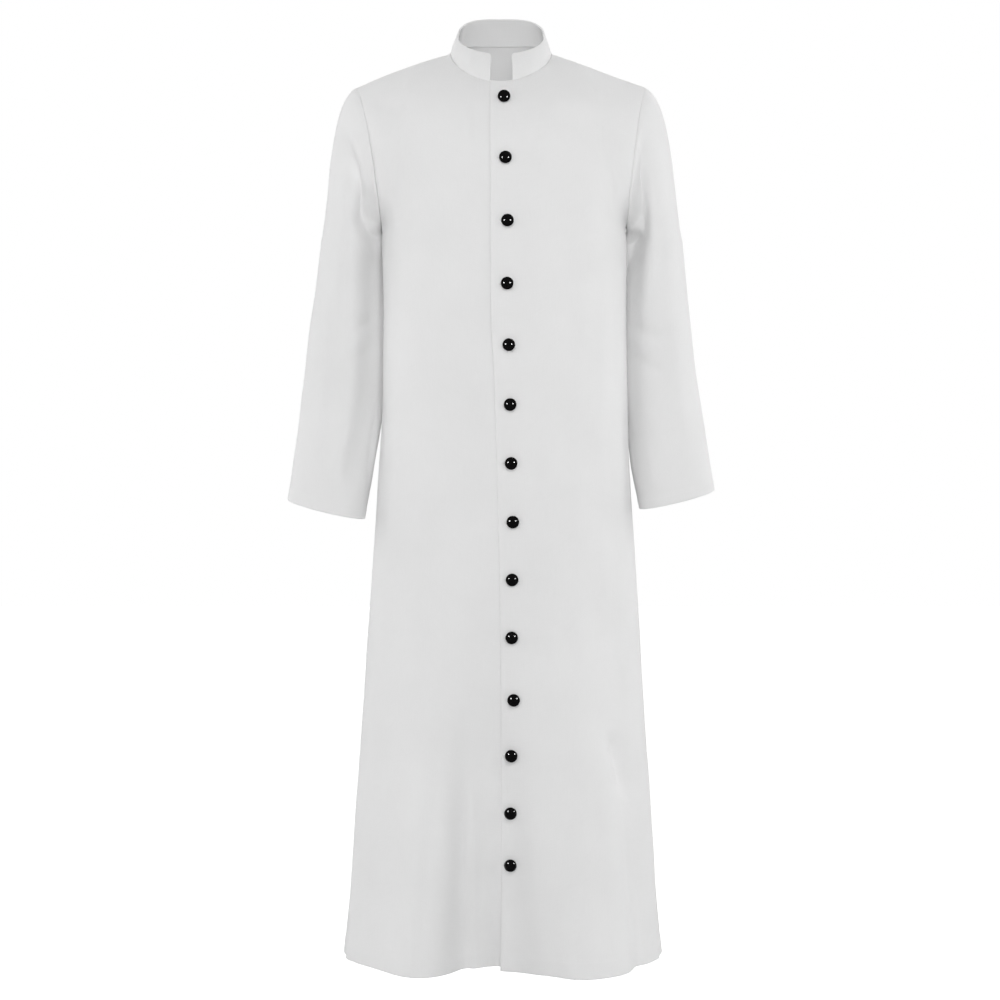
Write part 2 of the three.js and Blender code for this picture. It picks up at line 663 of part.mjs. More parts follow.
// A button whose shank stands a seam gap off the over front, at a place seen from the front.
function button(name, { x, z }, cloth) {
  const brim = SHANK_HEIGHT + BUTTON_EDGE;
  const profile = [
    [0, 0],
    [SHANK_RADIUS, 0],
    [SHANK_RADIUS, SHANK_HEIGHT],
    [BUTTON_RADIUS * 0.86, SHANK_HEIGHT],
    ...Array.from({ length: DOME_RINGS }, (_, i) => {
      const turn = (Math.PI / 2) * (i / DOME_RINGS);
      return [BUTTON_RADIUS * Math.cos(turn), brim + (BUTTON_HEIGHT - brim) * Math.sin(turn)];
    }),
    [0, BUTTON_HEIGHT],
  ].map(([radius, height]) => new THREE.Vector2(radius, height));
  const mesh = new THREE.Mesh(new THREE.LatheGeometry(profile, BUTTON_SIDES), BUTTON_BLACK);
  const hit = (from, along) => new THREE.Raycaster(from, along).intersectObject(cloth)[0];
  const seat = hit(new THREE.Vector3(x, -500, z), new THREE.Vector3(0, 1, 0));
  const outward = seat.face.normal.clone();
  const inward = outward.clone().negate();
  mesh.quaternion.setFromUnitVectors(new THREE.Vector3(0, 1, 0), outward);
  // The highest cloth under the shank's foot sets how far out the button stands.
  const highest = Math.max(
    ...Array.from({ length: BUTTON_SIDES }, (_, i) => {
      const corner = new THREE.Vector3(SHANK_RADIUS, BUTTON_RADIUS, 0);
      corner.applyAxisAngle(new THREE.Vector3(0, 1, 0), (2 * Math.PI * i) / BUTTON_SIDES);
      const from = corner.applyQuaternion(mesh.quaternion).add(seat.point);
      return BUTTON_RADIUS - hit(from, inward).distance;
    }),
  );
  mesh.position.copy(seat.point).addScaledVector(outward, SEAM_GAP + Math.max(0, highest));
  mesh.name = name;
  return mesh;
}

const robe = new THREE.Group();
const overFrontMesh = wall("front_left", overFront);
robe.add(
  overFrontMesh,
  wall("front_right", underFront),
  wall("back", back),
  wall("sleeve_right", rightSleeve, { closed: true, flipped: true }),
  wall("sleeve_left", leftSleeve, { closed: true }),
  wall("collar", collar, { thickness: COLLAR_WALL }),
);
BUTTONS.forEach((place, i) => {
  robe.add(button(`button_${String(i + 1).padStart(2, "0")}`, place, overFrontMesh));
});

export default robe;
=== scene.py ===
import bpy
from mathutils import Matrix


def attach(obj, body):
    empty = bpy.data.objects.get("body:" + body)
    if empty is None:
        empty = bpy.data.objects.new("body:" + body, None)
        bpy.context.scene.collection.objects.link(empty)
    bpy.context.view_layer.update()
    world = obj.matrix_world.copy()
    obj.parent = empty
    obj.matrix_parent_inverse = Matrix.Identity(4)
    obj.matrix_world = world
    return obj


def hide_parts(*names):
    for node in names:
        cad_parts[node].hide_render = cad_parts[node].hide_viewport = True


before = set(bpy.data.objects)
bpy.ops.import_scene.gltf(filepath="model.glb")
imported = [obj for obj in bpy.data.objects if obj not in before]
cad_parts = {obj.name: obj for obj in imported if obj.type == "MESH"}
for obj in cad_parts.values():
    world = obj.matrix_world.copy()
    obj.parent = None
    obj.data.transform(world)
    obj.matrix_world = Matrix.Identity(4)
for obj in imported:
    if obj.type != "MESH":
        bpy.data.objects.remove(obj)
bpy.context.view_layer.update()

import math

import bmesh
import bpy
import numpy as np

MM = 0.001
DEGREE = math.pi / 180
rng = np.random.default_rng(7)
scene = bpy.context.scene
scene.view_settings.view_transform = "Standard"

# The camera stands level with the middle of the robe, where the photograph was taken from.
camera = bpy.data.objects.new("Camera", bpy.data.cameras.new("Camera"))
scene.collection.objects.link(camera)
camera.location = (-0.00155, -3.2, -0.698)
camera.rotation_euler = (math.pi / 2, 0, 0)
camera.data.sensor_width = 36
camera.data.lens = 74.32
camera.data.clip_end = 60
scene.camera = camera

# Lengths below are in millimetres, in the row frame: +Z up, the front faces -Y, +X is the wearer's left.
CLOTH_THICK, TURNED_THICK, COLLAR_THICK = 1.4, 2.1, 3.0
LAP = 2.6  # how far the over front stands out from the body's plain form
HEM_DEEP, CUFF_DEEP, FACING_DEEP = 26, 15, 40  # how wide the cloth is turned in
STITCH_PITCH, STITCH_LENGTH, STITCH_RADIUS = 3.2, 2.3, 0.24
STITCH_SIDE = 2  # from a hem's stitches to its turned-in edge
EDGE_STITCH = 6.5  # from the over front's free edge to its stitches
BODY_STEP, BACK_STEP, COLLAR_STEP = 4.0, 4.48, 2.2  # spacing of the cloth's points

UNDERARM_Z, BUST_Z, HEM_Z = -275, -330, -1406
NECK_HALF, NECK_DEPTH, NECK_Y = 78, 69, -5
NECK_SIDE_Z, NECK_FRONT_Z, NECK_BACK_Z = -8, -65, 18
RIM_HALF, RIM_DEPTH, RIM_Y = 66.5, 58, 2
RIM_FRONT_Z, RIM_BACK_Z, RIM_BACK_ROUND = -18, 61.5, 2.9
COLLAR_BOW = 2.5
# shoulder tip
TIP = np.array([223.0, 0.0, -60.0])
SHOULDER_BOW = {-1: 2.8, 1: -0.5}  # how far the right and left shoulder seams rise in their middle
ARMHOLE_FRONT, ARMHOLE_BACK = 72, 76
ARMHOLE_SHARE = 0.84  # where the armhole ends, as a share of the way down to the bust
NECK_SHARE = 0.46  # how much of a quarter body lies under the collar
BUST_PULL = 310
SLEEVE_TUCK = 10  # how far a sleeve's inner back is pressed towards the body

# height and half width of the armhole's line
ARMHOLE = np.array([
    (-60, 223), (-87, 214.5), (-118, 207.5), (-149, 202.5),
    (-175, 198.5), (-210, 194.5), (-240, 191.5), (-275, 189),
], float)
# height, half width, front depth, back depth, how squarely the section is rounded
BODY = np.array([
    (-275, 189, 120, 112, 2.5),
    (-330, 187.5, 123, 104, 2.5),
    (-388, 186.5, 124, 98, 2.5),
    (-500, 187.5, 124, 99, 2.5),
    (-590, 190.5, 123, 107, 2.45),
    (-730, 199, 121, 119, 2.4),
    (-915, 211, 118, 129, 2.3),
    (-1100, 222.5, 116, 139, 2.25),
    (-1290, 235, 115, 150, 2.2),
    (-1406, 243, 115, 157, 2.2),
], float)
# height, and how far the body's middle stands to the wearer's left
LEAN = np.array([(-60, 0), (-150, 2.5), (-275, 5), (-400, 6), (-700, 5), (-1000, 4), (-1406, 2.5)], float)
# angle at the hem, half width in degrees, how far out, top, drift of the top in degrees
FOLDS = [
    (-3, 28, -48, -820, 0),
    (-31, 30, 35, -700, 5),
    (29, 32, 53, -680, -4),
    (-72, 16, -7, -900, 6),
    (76, 16, -6, -860, -6),
    (108, 20, 17, -820, 6),
    (133, 18, -20, -700, 5),
    (157, 21, 27, -640, 4),
    (181, 18, -22, -600, 0),
    (205, 21, 25, -690, -5),
    (229, 18, -19, -760, -4),
    (252, 19, 15, -840, -6),
]
FOLD_POWER = 1.35
# share of a quarter body from its centre line, then the vector by which the cloth leaves the seam
FRONT_LEAVE = np.array([
    (0, 0, -140, -230), (0.18, 45, -165, -200), (0.28, 90, -215, -190), (0.37, 170, -255, -175),
    (0.46, 290, -285, -120), (0.54, 230, -290, -90), (0.62, 120, -300, -68), (0.7, 50, -300, -62),
    (0.8, 10, -300, -62), (1, -10, -290, -72),
], float)
BACK_LEAVE = np.array([
    (0, 0, 150, -230), (0.18, 60, 205, -225), (0.28, 110, 260, -205), (0.37, 200, 330, -165),
    (0.46, 300, 400, -120), (0.54, 230, 385, -90), (0.62, 120, 365, -68), (0.7, 50, 350, -62),
    (0.8, 10, 330, -60), (1, -10, 280, -62),
], float)
# height and x of the over front's free edge
OVER_EDGE = np.array([(-65, -17), (-435, -15), (-510, -11), (-850, -2), (-1406, 2)], float)
UNDER_WIDTH = 61  # how far the under front reaches past the over front's edge
COLLAR_GAP = 34

# height, then the inner and outer side of the right and left sleeve, from the robe's middle
ARM_WIDTH = np.array([
    (-300, 184.5, 279.5, 194.5, 281.5),
    (-360, 181.5, 287.5, 192, 288),
    (-435, 180, 299.5, 191.5, 296),
    (-500, 181.5, 306.5, 192.5, 303),
    (-560, 186.5, 313, 197.2, 311),
    (-636, 198.5, 322, 201.5, 321.5),
    (-704.5, 212, 330.5, 215, 330.5),
], float)
# height, the section's middle in y, its half depth, tilt and dip
ARM_DEPTH = np.array([
    (-300, 14, 72, 8, 0),
    (-360, 22, 68, 10, 0),
    (-435, 28, 62, 13, 0),
    (-500, 27, 57, 16, 1),
    (-560, 22, 52, 19, 2),
    (-636, 12, 47, 24, 4),
    (-704.5, 2, 43, 29, 5),
], float)
BICEPS_Z, CUFF_Z = -300, -704.5
# how the sleeve leaves the armhole and arrives at the biceps, outwards and up, on its top and underarm
CAP_LEAVE, CAP_ARRIVE = (135, -70), (40, -180)
ARMPIT_LEAVE, ARMPIT_ARRIVE = (7, -20), (-2, -26)
CUFF_SHIFT = 7.5  # how much higher the left cuff hangs, and how much lower the right one

BUTTON_RADIUS, SHANK_RADIUS = 9.5, 2.6
# height and x of each button
BUTTONS = [
    (-91, 4.5), (-186.5, 6.5), (-281.5, 9.5), (-375.5, 9), (-467, 11.5), (-556, 13.5), (-643.5, 15),
    (-731, 17.5), (-817, 16.5), (-903.5, 16), (-997, 19), (-1081, 15.5), (-1168, 14.5), (-1247, 14.5),
]


def unit(v):
    return v / np.maximum(np.linalg.norm(v, axis=-1, keepdims=True), 1e-9)


def ease(x, low, high):
    t = np.clip((x - low) / (high - low), 0, 1)
    return t * t * (3 - 2 * t)


def mix(a, b, t):
    return a + (b - a) * t


def vector(x, y, z):
    return np.stack(np.broadcast_arrays(x, y, z), -1).astype(float)


def curve(table, column):
    """A smooth curve through a column of a table, read by its first column."""
    at, value = table[:, 0], table[:, column]
    if at[0] > at[-1]:
        at, value = at[::-1], value[::-1]
    n = len(at)
    low, high = np.maximum(np.arange(n) - 1, 0), np.minimum(np.arange(n) + 1, n - 1)
    slope = (value[high] - value[low]) / (at[high] - at[low])

    def read(where):
        x = np.clip(where, at[0], at[-1])
        i = np.clip(np.searchsorted(at, x, side="right") - 1, 0, n - 2)
        width = at[i + 1] - at[i]
        t = (x - at[i]) / width
        turn = width * t * (1 - t) * (slope[i] * (1 - t) - slope[i + 1] * t)
        return value[i] + (value[i + 1] - value[i]) * t * t * (3 - 2 * t) + turn

    return read


armhole_half = curve(ARMHOLE, 1)
body_half, body_front, body_back, body_round = (curve(BODY, i) for i in range(1, 5))
lean = curve(LEAN, 1)
over_edge = curve(OVER_EDGE, 1)
leaves = {-1: [curve(FRONT_LEAVE, i) for i in (1, 2, 3)], 1: [curve(BACK_LEAVE, i) for i in (1, 2, 3)]}
arm_width = {-1: (curve(ARM_WIDTH, 1), curve(ARM_WIDTH, 2)), 1: (curve(ARM_WIDTH, 3), curve(ARM_WIDTH, 4))}
arm_y, arm_depth, arm_tilt, arm_dip = (curve(ARM_DEPTH, i) for i in range(1, 5))


def hermite(a, da, b, db, t):
    t = np.asarray(t)[..., None]
    return (
        a * (1 + 2 * t) * (1 - t) ** 2
        + da * t * (1 - t) ** 2
        + b * t * t * (3 - 2 * t)
        + db * t * t * (t - 1)
    )


def fold_out(angle, z):
    out = np.zeros(np.broadcast(angle, z).shape)
    for at, spread, far, top, drift in FOLDS:
        grown = np.clip((top - z) / (top - HEM_Z), 0, 1)
        away = (angle - at - drift * (1 - grown) + 180) % 360 - 180
        swell = far * grown**FOLD_POWER * 0.5 * (1 + np.cos(np.pi * np.clip(away / spread, -1, 1)))
        out = out + swell
    return out


def body_section(angle, z):
    sine, cosine = np.sin(angle * DEGREE), np.cos(angle * DEGREE)
    half, n = body_half(z), body_round(z)
    depth = np.where(cosine > 0, body_front(z), body_back(z))
    y = -np.sign(cosine) * depth * np.maximum(0, 1 - np.abs(sine) ** n) ** (1 / n)
    out_x, out_y = sine / half, -cosine / depth
    out = fold_out(angle, z) / np.hypot(out_x, out_y)
    return vector(lean(z) + half * sine + out_x * out, y + out_y * out, z)


def neck_base(angle):
    a = angle * DEGREE
    middle = (NECK_FRONT_Z + NECK_BACK_Z + 2 * NECK_SIDE_Z) / 4
    swing = (NECK_FRONT_Z - NECK_BACK_Z) / 2
    z = middle + swing * np.cos(a) + (middle - NECK_SIDE_Z) * np.cos(2 * a)
    return vector(NECK_HALF * np.sin(a), NECK_Y - NECK_DEPTH * np.cos(a), z)


def collar_rim(angle):
    sine, cosine = np.sin(angle * DEGREE), np.cos(angle * DEGREE)
    n = np.where(cosine > 0, 2, RIM_BACK_ROUND)
    squared = (np.abs(sine) ** n + np.abs(cosine) ** n) ** (1 / n)
    z = (RIM_FRONT_Z + RIM_BACK_Z) / 2 + (RIM_FRONT_Z - RIM_BACK_Z) / 2 * cosine / squared
    return vector(RIM_HALF * sine / squared, RIM_Y - RIM_DEPTH * cosine / squared, z)


def shoulder_seam(side, along):
    """The shoulder seam of the panel's side, 0 at the neck and 1 at the shoulder tip."""
    start = neck_base(side * 90.0)
    end = vector(side * TIP[0], TIP[1], TIP[2])
    seam = mix(start, end, np.asarray(along)[..., None])
    seam[..., 2] += 4 * along * (1 - along) * np.where(side < 0, SHOULDER_BOW[-1], SHOULDER_BOW[1])
    return seam


def armhole(side, face, turn):
    z = TIP[2] - (TIP[2] - UNDERARM_Z) / 2 * (1 - np.cos(turn))
    depth = np.where(face < 0, ARMHOLE_FRONT, ARMHOLE_BACK)
    return vector(side * armhole_half(z) + lean(z), face * depth * np.sin(turn), z)


def panel_edge(side, face, down):
    z = mix(UNDERARM_Z, BUST_Z, (down - ARMHOLE_SHARE) / (1 - ARMHOLE_SHARE))
    low = vector(side * body_half(z) + lean(z), 0, z)
    high = armhole(side, face, np.pi * np.clip(down / ARMHOLE_SHARE, 0, 1))
    return np.where((down <= ARMHOLE_SHARE)[..., None], high, low)


def column(face, angle, down):
    middle = 0 if face < 0 else 180
    side = -face * np.sign(angle - middle)
    share = np.abs(angle - middle) / 90
    neck = neck_base(middle + (angle - middle) / NECK_SHARE)
    along = np.clip((share - NECK_SHARE) / (1 - NECK_SHARE), 0, 1)
    top = np.where((share <= NECK_SHARE)[..., None], neck, shoulder_seam(side, along))
    x, y, z = (leave(share) for leave in leaves[face])
    bust = body_section(angle, np.full_like(angle, BUST_Z))
    arrive = (body_section(angle, np.full_like(angle, BUST_Z - 1.0)) - bust) * BUST_PULL
    return hermite(top, vector(side * x, y, z), bust, arrive, down)


# how far the body's side stands out from its plain section, by y
SIDE_SLANT = np.array([
    (-110, 0), (-80, 1.5), (-45, 4), (-15, -1), (5, -8.5), (25, -13.5), (50, -13), (75, -6), (100, 0),
], float)
side_slant = curve(SIDE_SLANT, 1)
# where the sleeves swing clear of the body, on its right and left
SIDE_END = {-1: (590, 500), 1: (630, 530)}


def side_level(side, z):
    ends = [np.where(side < 0, right, left) for right, left in zip(SIDE_END[-1], SIDE_END[1])]
    return ease(-z, 276, 300) * ease(-z, *ends)


def slant_side(points):
    """Slants the body's sides, so that the sleeves hang in behind their front half."""
    x, y, z = np.moveaxis(points, -1, 0)
    return vector(x + np.sign(x) * side_slant(y) * side_level(x, z) * ease(np.abs(x), 110, 165), y, z)


def body_cloth(face, angle, down):
    """The body's cloth, down 0 at the neck and shoulder seams, 1 at the bust level, 2 at the hem."""
    angle, down = np.broadcast_arrays(np.asarray(angle, float), np.asarray(down, float))
    low = body_section(angle, mix(BUST_Z, HEM_Z, np.clip(down - 1, 0, 1)))
    high_down = np.clip(down, 0, 1)
    middle = 0 if face < 0 else 180
    turn = np.where(angle < middle, -1.0, 1.0)
    pull = ease(np.abs(angle - middle) / 90, 0.45, 1)[..., None]
    miss = panel_edge(-face * turn, face, high_down) - column(face, middle + 90 * turn, high_down)
    high = column(face, angle, high_down) + miss * pull
    return slant_side(np.where((down >= 1)[..., None], low, high))


def arm_section(side, round_, t):
    z = mix(BICEPS_Z, CUFF_Z, t)
    cosine, sine = np.cos(2 * np.pi * round_), np.sin(2 * np.pi * round_)
    inner, outer = (edge(z) for edge in arm_width[side])
    return vector(
        side * ((inner + outer) / 2 - (outer - inner) / 2 * cosine),
        arm_y(z) - arm_depth(z) * sine,
        z - arm_tilt(z) / 2 * cosine - arm_dip(z) * sine + side * CUFF_SHIFT * t,
    )


def sleeve_form(side, round_, along):
    """The sleeve, along 0 at the armhole, 1 at the biceps, 2 at the cuff."""
    round_, along = np.broadcast_arrays(np.asarray(round_, float) % 1, np.asarray(along, float))
    low = arm_section(side, round_, np.clip(along - 1, 0, 1))
    face = np.where(round_ <= 0.5, -1, 1)
    up = (1 - np.cos(2 * np.pi * round_)) / 2
    start = armhole(side, face, np.pi * np.abs(1 - 2 * round_))
    swell = 10 * np.sin(2 * np.pi * round_)
    leave_out, leave_up = (mix(low, high, up) for low, high in zip(ARMPIT_LEAVE, CAP_LEAVE))
    arrive_out, arrive_up = (mix(low, high, up) for low, high in zip(ARMPIT_ARRIVE, CAP_ARRIVE))
    leave, arrive = vector(side * leave_out, -swell, leave_up), vector(side * arrive_out, 0, arrive_up)
    biceps = arm_section(side, round_, 0 * round_)
    high = hermite(start, leave, biceps, arrive, np.clip(along, 0, 1))
    p = np.where((along >= 1)[..., None], low, high)
    inward = ease(np.cos(2 * np.pi * round_), 0.2, 0.95) * ease(p[..., 1], -28, 14)
    p[..., 0] -= side * SLEEVE_TUCK * side_level(side, p[..., 2]) * inward
    return p


# Creases. Each is: height out of the cloth at its middle (in if negative), half widths
# towards the right and left of the picture, and its path as seen from the front, or through the robe
# for the back. Then, where they aren't 0.4, the shares of its length that fade in and out.
FRONT_CREASES = [
    # sharp drape fold beside the closure, and the shallow hollow that leads into it
    (-7.0, 5, 24, [(-52, -1100), (-52, -1180), (-51, -1300), (-48, -1410)], 0.3, 0),
    (1.2, 16, 12, [(-37, -1150), (-36, -1240), (-34, -1340), (-33, -1410)], 0.3, 0),
    (-2.6, 30, 26, [(-70, -930), (-60, -1010), (-52, -1090), (-56, -1170)], 0.4, 0.3),
    # lit ridges of the two lobes
    (9.0, 42, 28, [(-112, -1060), (-117, -1200), (-121, -1320), (-125, -1410)], 0.4, 0),
    (5.2, 15, 18, [(151, -1010), (159, -1120), (169, -1230), (178, -1330), (183, -1410)], 0.4, 0),
    (-6.0, 13, 7, [(162, -1040), (170, -1078), (179, -1116), (190, -1160)], 0.3, 0.4),
    (-3.0, 18, 12, [(188, -1170), (197, -1260), (205, -1340), (210, -1410)], 0.4, 0),
    (-2.2, 22, 26, [(78, -1060), (96, -1110), (112, -1180)]),
    (-2.4, 24, 20, [(66, -1230), (74, -1320), (80, -1410)], 0.45, 0),
    (1.8, 20, 22, [(34, -1130), (44, -1220), (50, -1330)], 0.45, 0.3),
    (-2.0, 18, 26, [(-160, -1180), (-172, -1290), (-182, -1410)], 0.45, 0),
    (2.0, 20, 18, [(-196, -1020), (-208, -1180), (-218, -1410)], 0.45, 0),
    (2.2, 16, 14, [(210, -980), (222, -1180), (233, -1410)], 0.45, 0),
    # belly and hips
    (-2.4, 32, 30, [(84, -540), (108, -585), (132, -630), (150, -680)]),
    (1.8, 26, 24, [(52, -590), (74, -650), (92, -720)]),
    (-1.8, 24, 24, [(-128, -520), (-120, -600), (-104, -690)]),
    (1.6, 22, 26, [(-84, -560), (-76, -660), (-74, -760)]),
    (-1.8, 20, 22, [(-150, -760), (-146, -860), (-150, -960)]),
    (-1.6, 20, 20, [(128, -760), (140, -860), (146, -950)]),
    (1.5, 22, 22, [(60, -800), (66, -900), (72, -1000)]),
    # chest: drape from the shoulders and pulls towards the armholes
    (1.6, 16, 20, [(70, -82), (118, -98), (160, -120), (188, -146)]),
    (-1.8, 20, 18, [(52, -104), (98, -122), (140, -150), (172, -184)]),
    (1.2, 14, 16, [(30, -150), (70, -190), (100, -240)]),
    (-1.5, 14, 14, [(-142, -150), (-146, -215), (-142, -290), (-134, -370)]),
    (1.3, 12, 14, [(-168, -190), (-166, -260), (-160, -350)]),
    (-1.2, 10, 12, [(-104, -110), (-110, -170), (-108, -250)]),
    (-1.5, 12, 14, [(-206, -92), (-170, -100), (-130, -112)]),
    (1.1, 9, 9, [(-52, -92), (-48, -130), (-46, -180)]),
    (-1.1, 8, 9, [(-38, -88), (-35, -128), (-34, -170)]),
    (-1.3, 14, 14, [(156, -230), (162, -310), (158, -400)]),
    (1.3, 14, 12, [(176, -260), (178, -350), (172, -450)]),
    (-1.1, 16, 18, [(96, -300), (98, -380), (90, -470)]),
]
BACK_CREASES = [
    (-4.5, 18, 30, [(38, -1080), (46, -1180), (50, -1290), (58, -1410)], 0.4, 0),
    (3.5, 28, 22, [(84, -1060), (98, -1180), (106, -1300), (112, -1410)], 0.45, 0),
    (-3.0, 20, 18, [(146, -1180), (160, -1290), (172, -1410)], 0.45, 0),
    (3.5, 24, 30, [(-92, -1120), (-100, -1220), (-110, -1410)], 0.45, 0),
    (-4.0, 26, 16, [(-40, -1160), (-52, -1270), (-58, -1410)], 0.4, 0),
    (-3.0, 16, 20, [(-150, -1110), (-160, -1230), (-176, -1410)], 0.45, 0),
    (-2.4, 24, 26, [(6, -560), (2, -680), (8, -800), (4, -930)], 0.4, 0.35),
    (2.0, 22, 20, [(62, -620), (70, -740), (66, -880)]),
    (-2.0, 22, 22, [(118, -640), (128, -760), (122, -900)]),
    (-2.0, 20, 26, [(-108, -600), (-118, -720), (-110, -840)]),
    (1.8, 24, 20, [(-56, -640), (-60, -760), (-52, -900)]),
    # shoulder blades, and the hollow between them
    (-2.2, 26, 26, [(2, -110), (-2, -220), (4, -340)]),
    (1.8, 30, 26, [(-74, -130), (-86, -210), (-82, -300)]),
    (1.8, 26, 30, [(78, -120), (90, -200), (88, -290)]),
    (-2.4, 14, 16, [(-176, -150), (-160, -230), (-142, -320), (-128, -410)], 0.35, 0.4),
    (-2.2, 16, 14, [(178, -160), (164, -240), (150, -320), (140, -390)], 0.35, 0.4),
    (1.6, 14, 14, [(-150, -140), (-132, -220), (-118, -300)]),
    (1.5, 14, 14, [(152, -150), (136, -230), (126, -300)]),
    (-2.0, 12, 14, [(-120, -452), (-70, -470), (-14, -462)]),
    (-1.7, 13, 12, [(118, -438), (76, -462), (34, -468)]),
    (1.5, 12, 12, [(-96, -492), (-40, -508), (20, -498)]),
]
# Sleeves: the wearer's right and left, each in front and behind.
SLEEVE_CREASES = {
    (-1, -1): [
        (-27.0, 13, 26,
         [(-246, -128), (-236, -172), (-221, -212), (-205, -248), (-191, -290), (-184, -330)], 0.35, 0.35),
        (4.0, 9, 12, [(-252, -186), (-240, -232), (-224, -280)], 0.35, 0.2),
        (-2.0, 16, 14, [(-262, -130), (-258, -200), (-246, -262)], 0.3, 0.3),
        (3.2, 14, 24,
         [(-238, -288), (-231, -370), (-227, -450), (-230, -530), (-241, -610), (-254, -700)], 0.15, 0.1),
        (-10.0, 30, 26,
         [(-197, -290), (-191, -380), (-189, -450), (-196, -530), (-210, -610), (-224, -690)], 0.12, 0.15),
        (-2.2, 13, 9, [(-182, -410), (-206, -428), (-238, -436)], 0.3, 0.3),
        (-1.8, 12, 9, [(-184, -452), (-212, -474), (-246, -488)], 0.3, 0.3),
        (1.5, 12, 10, [(-186, -436), (-212, -452), (-240, -462)], 0.3, 0.3),
        (-2.4, 15, 12, [(-226, -590), (-232, -640), (-240, -684)], 0.4, 0.35),
        (-1.6, 16, 16, [(-292, -470), (-300, -560), (-306, -660)], 0.4, 0.3),
        (1.4, 16, 16, [(-270, -400), (-276, -480), (-284, -580)], 0.4, 0.3),
        (-1.6, 12, 14, [(-262, -240), (-262, -320), (-266, -400)]),
    ],
    (1, -1): [
        (-25.0, 34, 12,
         [(232, -110), (222, -156), (213, -204), (204, -250), (196, -290), (190, -340), (188, -400)],
         0.4, 0.5),
        (2.0, 10, 12, [(258, -150), (250, -204), (238, -256), (224, -310)], 0.35, 0.3),
        (-1.6, 10, 10, [(268, -150), (262, -210), (252, -268), (240, -316)], 0.3, 0.3),
        (2.0, 14, 12, [(270, -200), (262, -270), (250, -330)], 0.35, 0.2),
        (2.6, 22, 14,
         [(238, -300), (225, -380), (220, -460), (222, -546), (229, -620), (240, -694)], 0.2, 0.1),
        (-4.0, 20, 24,
         [(203, -300), (197, -380), (196, -460), (199, -540), (205, -620), (213, -690)], 0.2, 0.15),
        (-2.0, 9, 12, [(196, -420), (222, -440), (252, -446)], 0.3, 0.3),
        (-1.8, 9, 12, [(198, -470), (226, -492), (256, -500)], 0.3, 0.3),
        (1.4, 10, 12, [(198, -446), (226, -464), (250, -472)], 0.3, 0.3),
        (-2.0, 12, 14, [(222, -560), (232, -620), (238, -676)], 0.4, 0.35),
        (-1.6, 16, 16, [(290, -430), (296, -540), (306, -640)], 0.4, 0.3),
        (1.3, 14, 16, [(266, -380), (270, -480), (280, -590)], 0.4, 0.3),
    ],
    (-1, 1): [
        (-5.0, 15, 15, [(-234, -170), (-222, -220), (-206, -262), (-188, -300)], 0.3, 0.15),
        (2.2, 13, 13, [(-250, -210), (-238, -260), (-220, -300)], 0.35, 0.2),
        (-3.0, 13, 10, [(-186, -440), (-220, -452), (-264, -446), (-292, -430)], 0.3, 0.3),
        (2.0, 12, 12, [(-190, -466), (-226, -478), (-268, -472)], 0.3, 0.3),
        (-2.6, 12, 10, [(-196, -494), (-232, -506), (-276, -498)], 0.3, 0.3),
        (2.0, 18, 14, [(-250, -530), (-262, -610), (-276, -690)], 0.3, 0.2),
        (-2.0, 16, 14, [(-228, -540), (-240, -620), (-252, -690)], 0.3, 0.2),
        (-1.6, 14, 14, [(-262, -300), (-266, -380)], 0.4, 0.3),
    ],
    (1, 1): [
        (-5.0, 15, 15, [(238, -166), (228, -216), (212, -262), (196, -306)], 0.3, 0.15),
        (2.2, 13, 13, [(254, -210), (244, -262), (228, -304)], 0.35, 0.2),
        (-2.8, 10, 13, [(200, -432), (236, -446), (276, -438), (296, -424)], 0.3, 0.3),
        (2.0, 12, 12, [(202, -462), (240, -472), (280, -466)], 0.3, 0.3),
        (-2.4, 10, 12, [(206, -488), (244, -500), (284, -490)], 0.3, 0.3),
        (2.0, 14, 18, [(256, -540), (268, -620), (278, -680)], 0.3, 0.2),
        (-2.0, 14, 16, [(236, -550), (246, -620), (256, -680)], 0.3, 0.2),
        (-1.5, 14, 14, [(266, -310), (268, -390)], 0.4, 0.3),
    ],
}

DRAPE = {-1: 1.25, 1: 2.0}  # how deep the body's creases are, in front and behind
ARM_DRAPE = {-1: 1.0, 1: 1.5}
# waves of uneven cloth: how many, the shortest and longest length across, and the same down
HANG = [(6, 45, 110, 500, 1300), (5, 90, 220, 180, 420)]
SOFT = [(6, 60, 160, 70, 200)]
PUCKER = [(6, 19, 44, 1e6, 2e6)]


def smooth_path(points, parts=7):
    p = np.array([points[0], *points, points[-1]], float)
    t = np.linspace(0, 1, parts, endpoint=False)[:, None]
    spans = []
    for a, b, c, d in zip(p, p[1:], p[2:], p[3:]):
        cubic = (2 * a - 5 * b + 4 * c - d) * t**2 + (3 * b - a - 3 * c + d) * t**3
        spans.append(0.5 * (2 * b + (c - a) * t + cubic))
    return np.vstack([*spans, p[-1:]])


def crease(x, z, height, to_right, to_left, points, fade_in=0.4, fade_out=0.4):
    """A crease's height at each place. Its two sides may be unlike, so that one is sharper."""
    path = smooth_path(points)
    steps = np.diff(path, axis=0)
    starts = girth(path[None], 1)[0]
    nearest = np.full(x.shape, 1e9)
    side, along = np.zeros(x.shape), np.zeros(x.shape)
    for (px, pz), (dx, dz), start in zip(path, steps, starts):
        length = math.hypot(dx, dz)
        t = np.clip(((x - px) * dx + (z - pz) * dz) / length**2, 0, 1)
        far = np.hypot(x - px - t * dx, z - pz - t * dz)
        closer = far < nearest
        nearest = np.where(closer, far, nearest)
        side = np.where(closer, -dz * (x - px) + dx * (z - pz), side)
        along = np.where(closer, start + t * length, along)
    along = along / starts[-1]
    shape = np.exp(-((nearest / np.where(side > 0, to_right, to_left)) ** 2))
    for share, fade in ((along, fade_in), (1 - along, fade_out)):
        if fade:
            shape = shape * ease(share, 0, fade)
    return height * shape


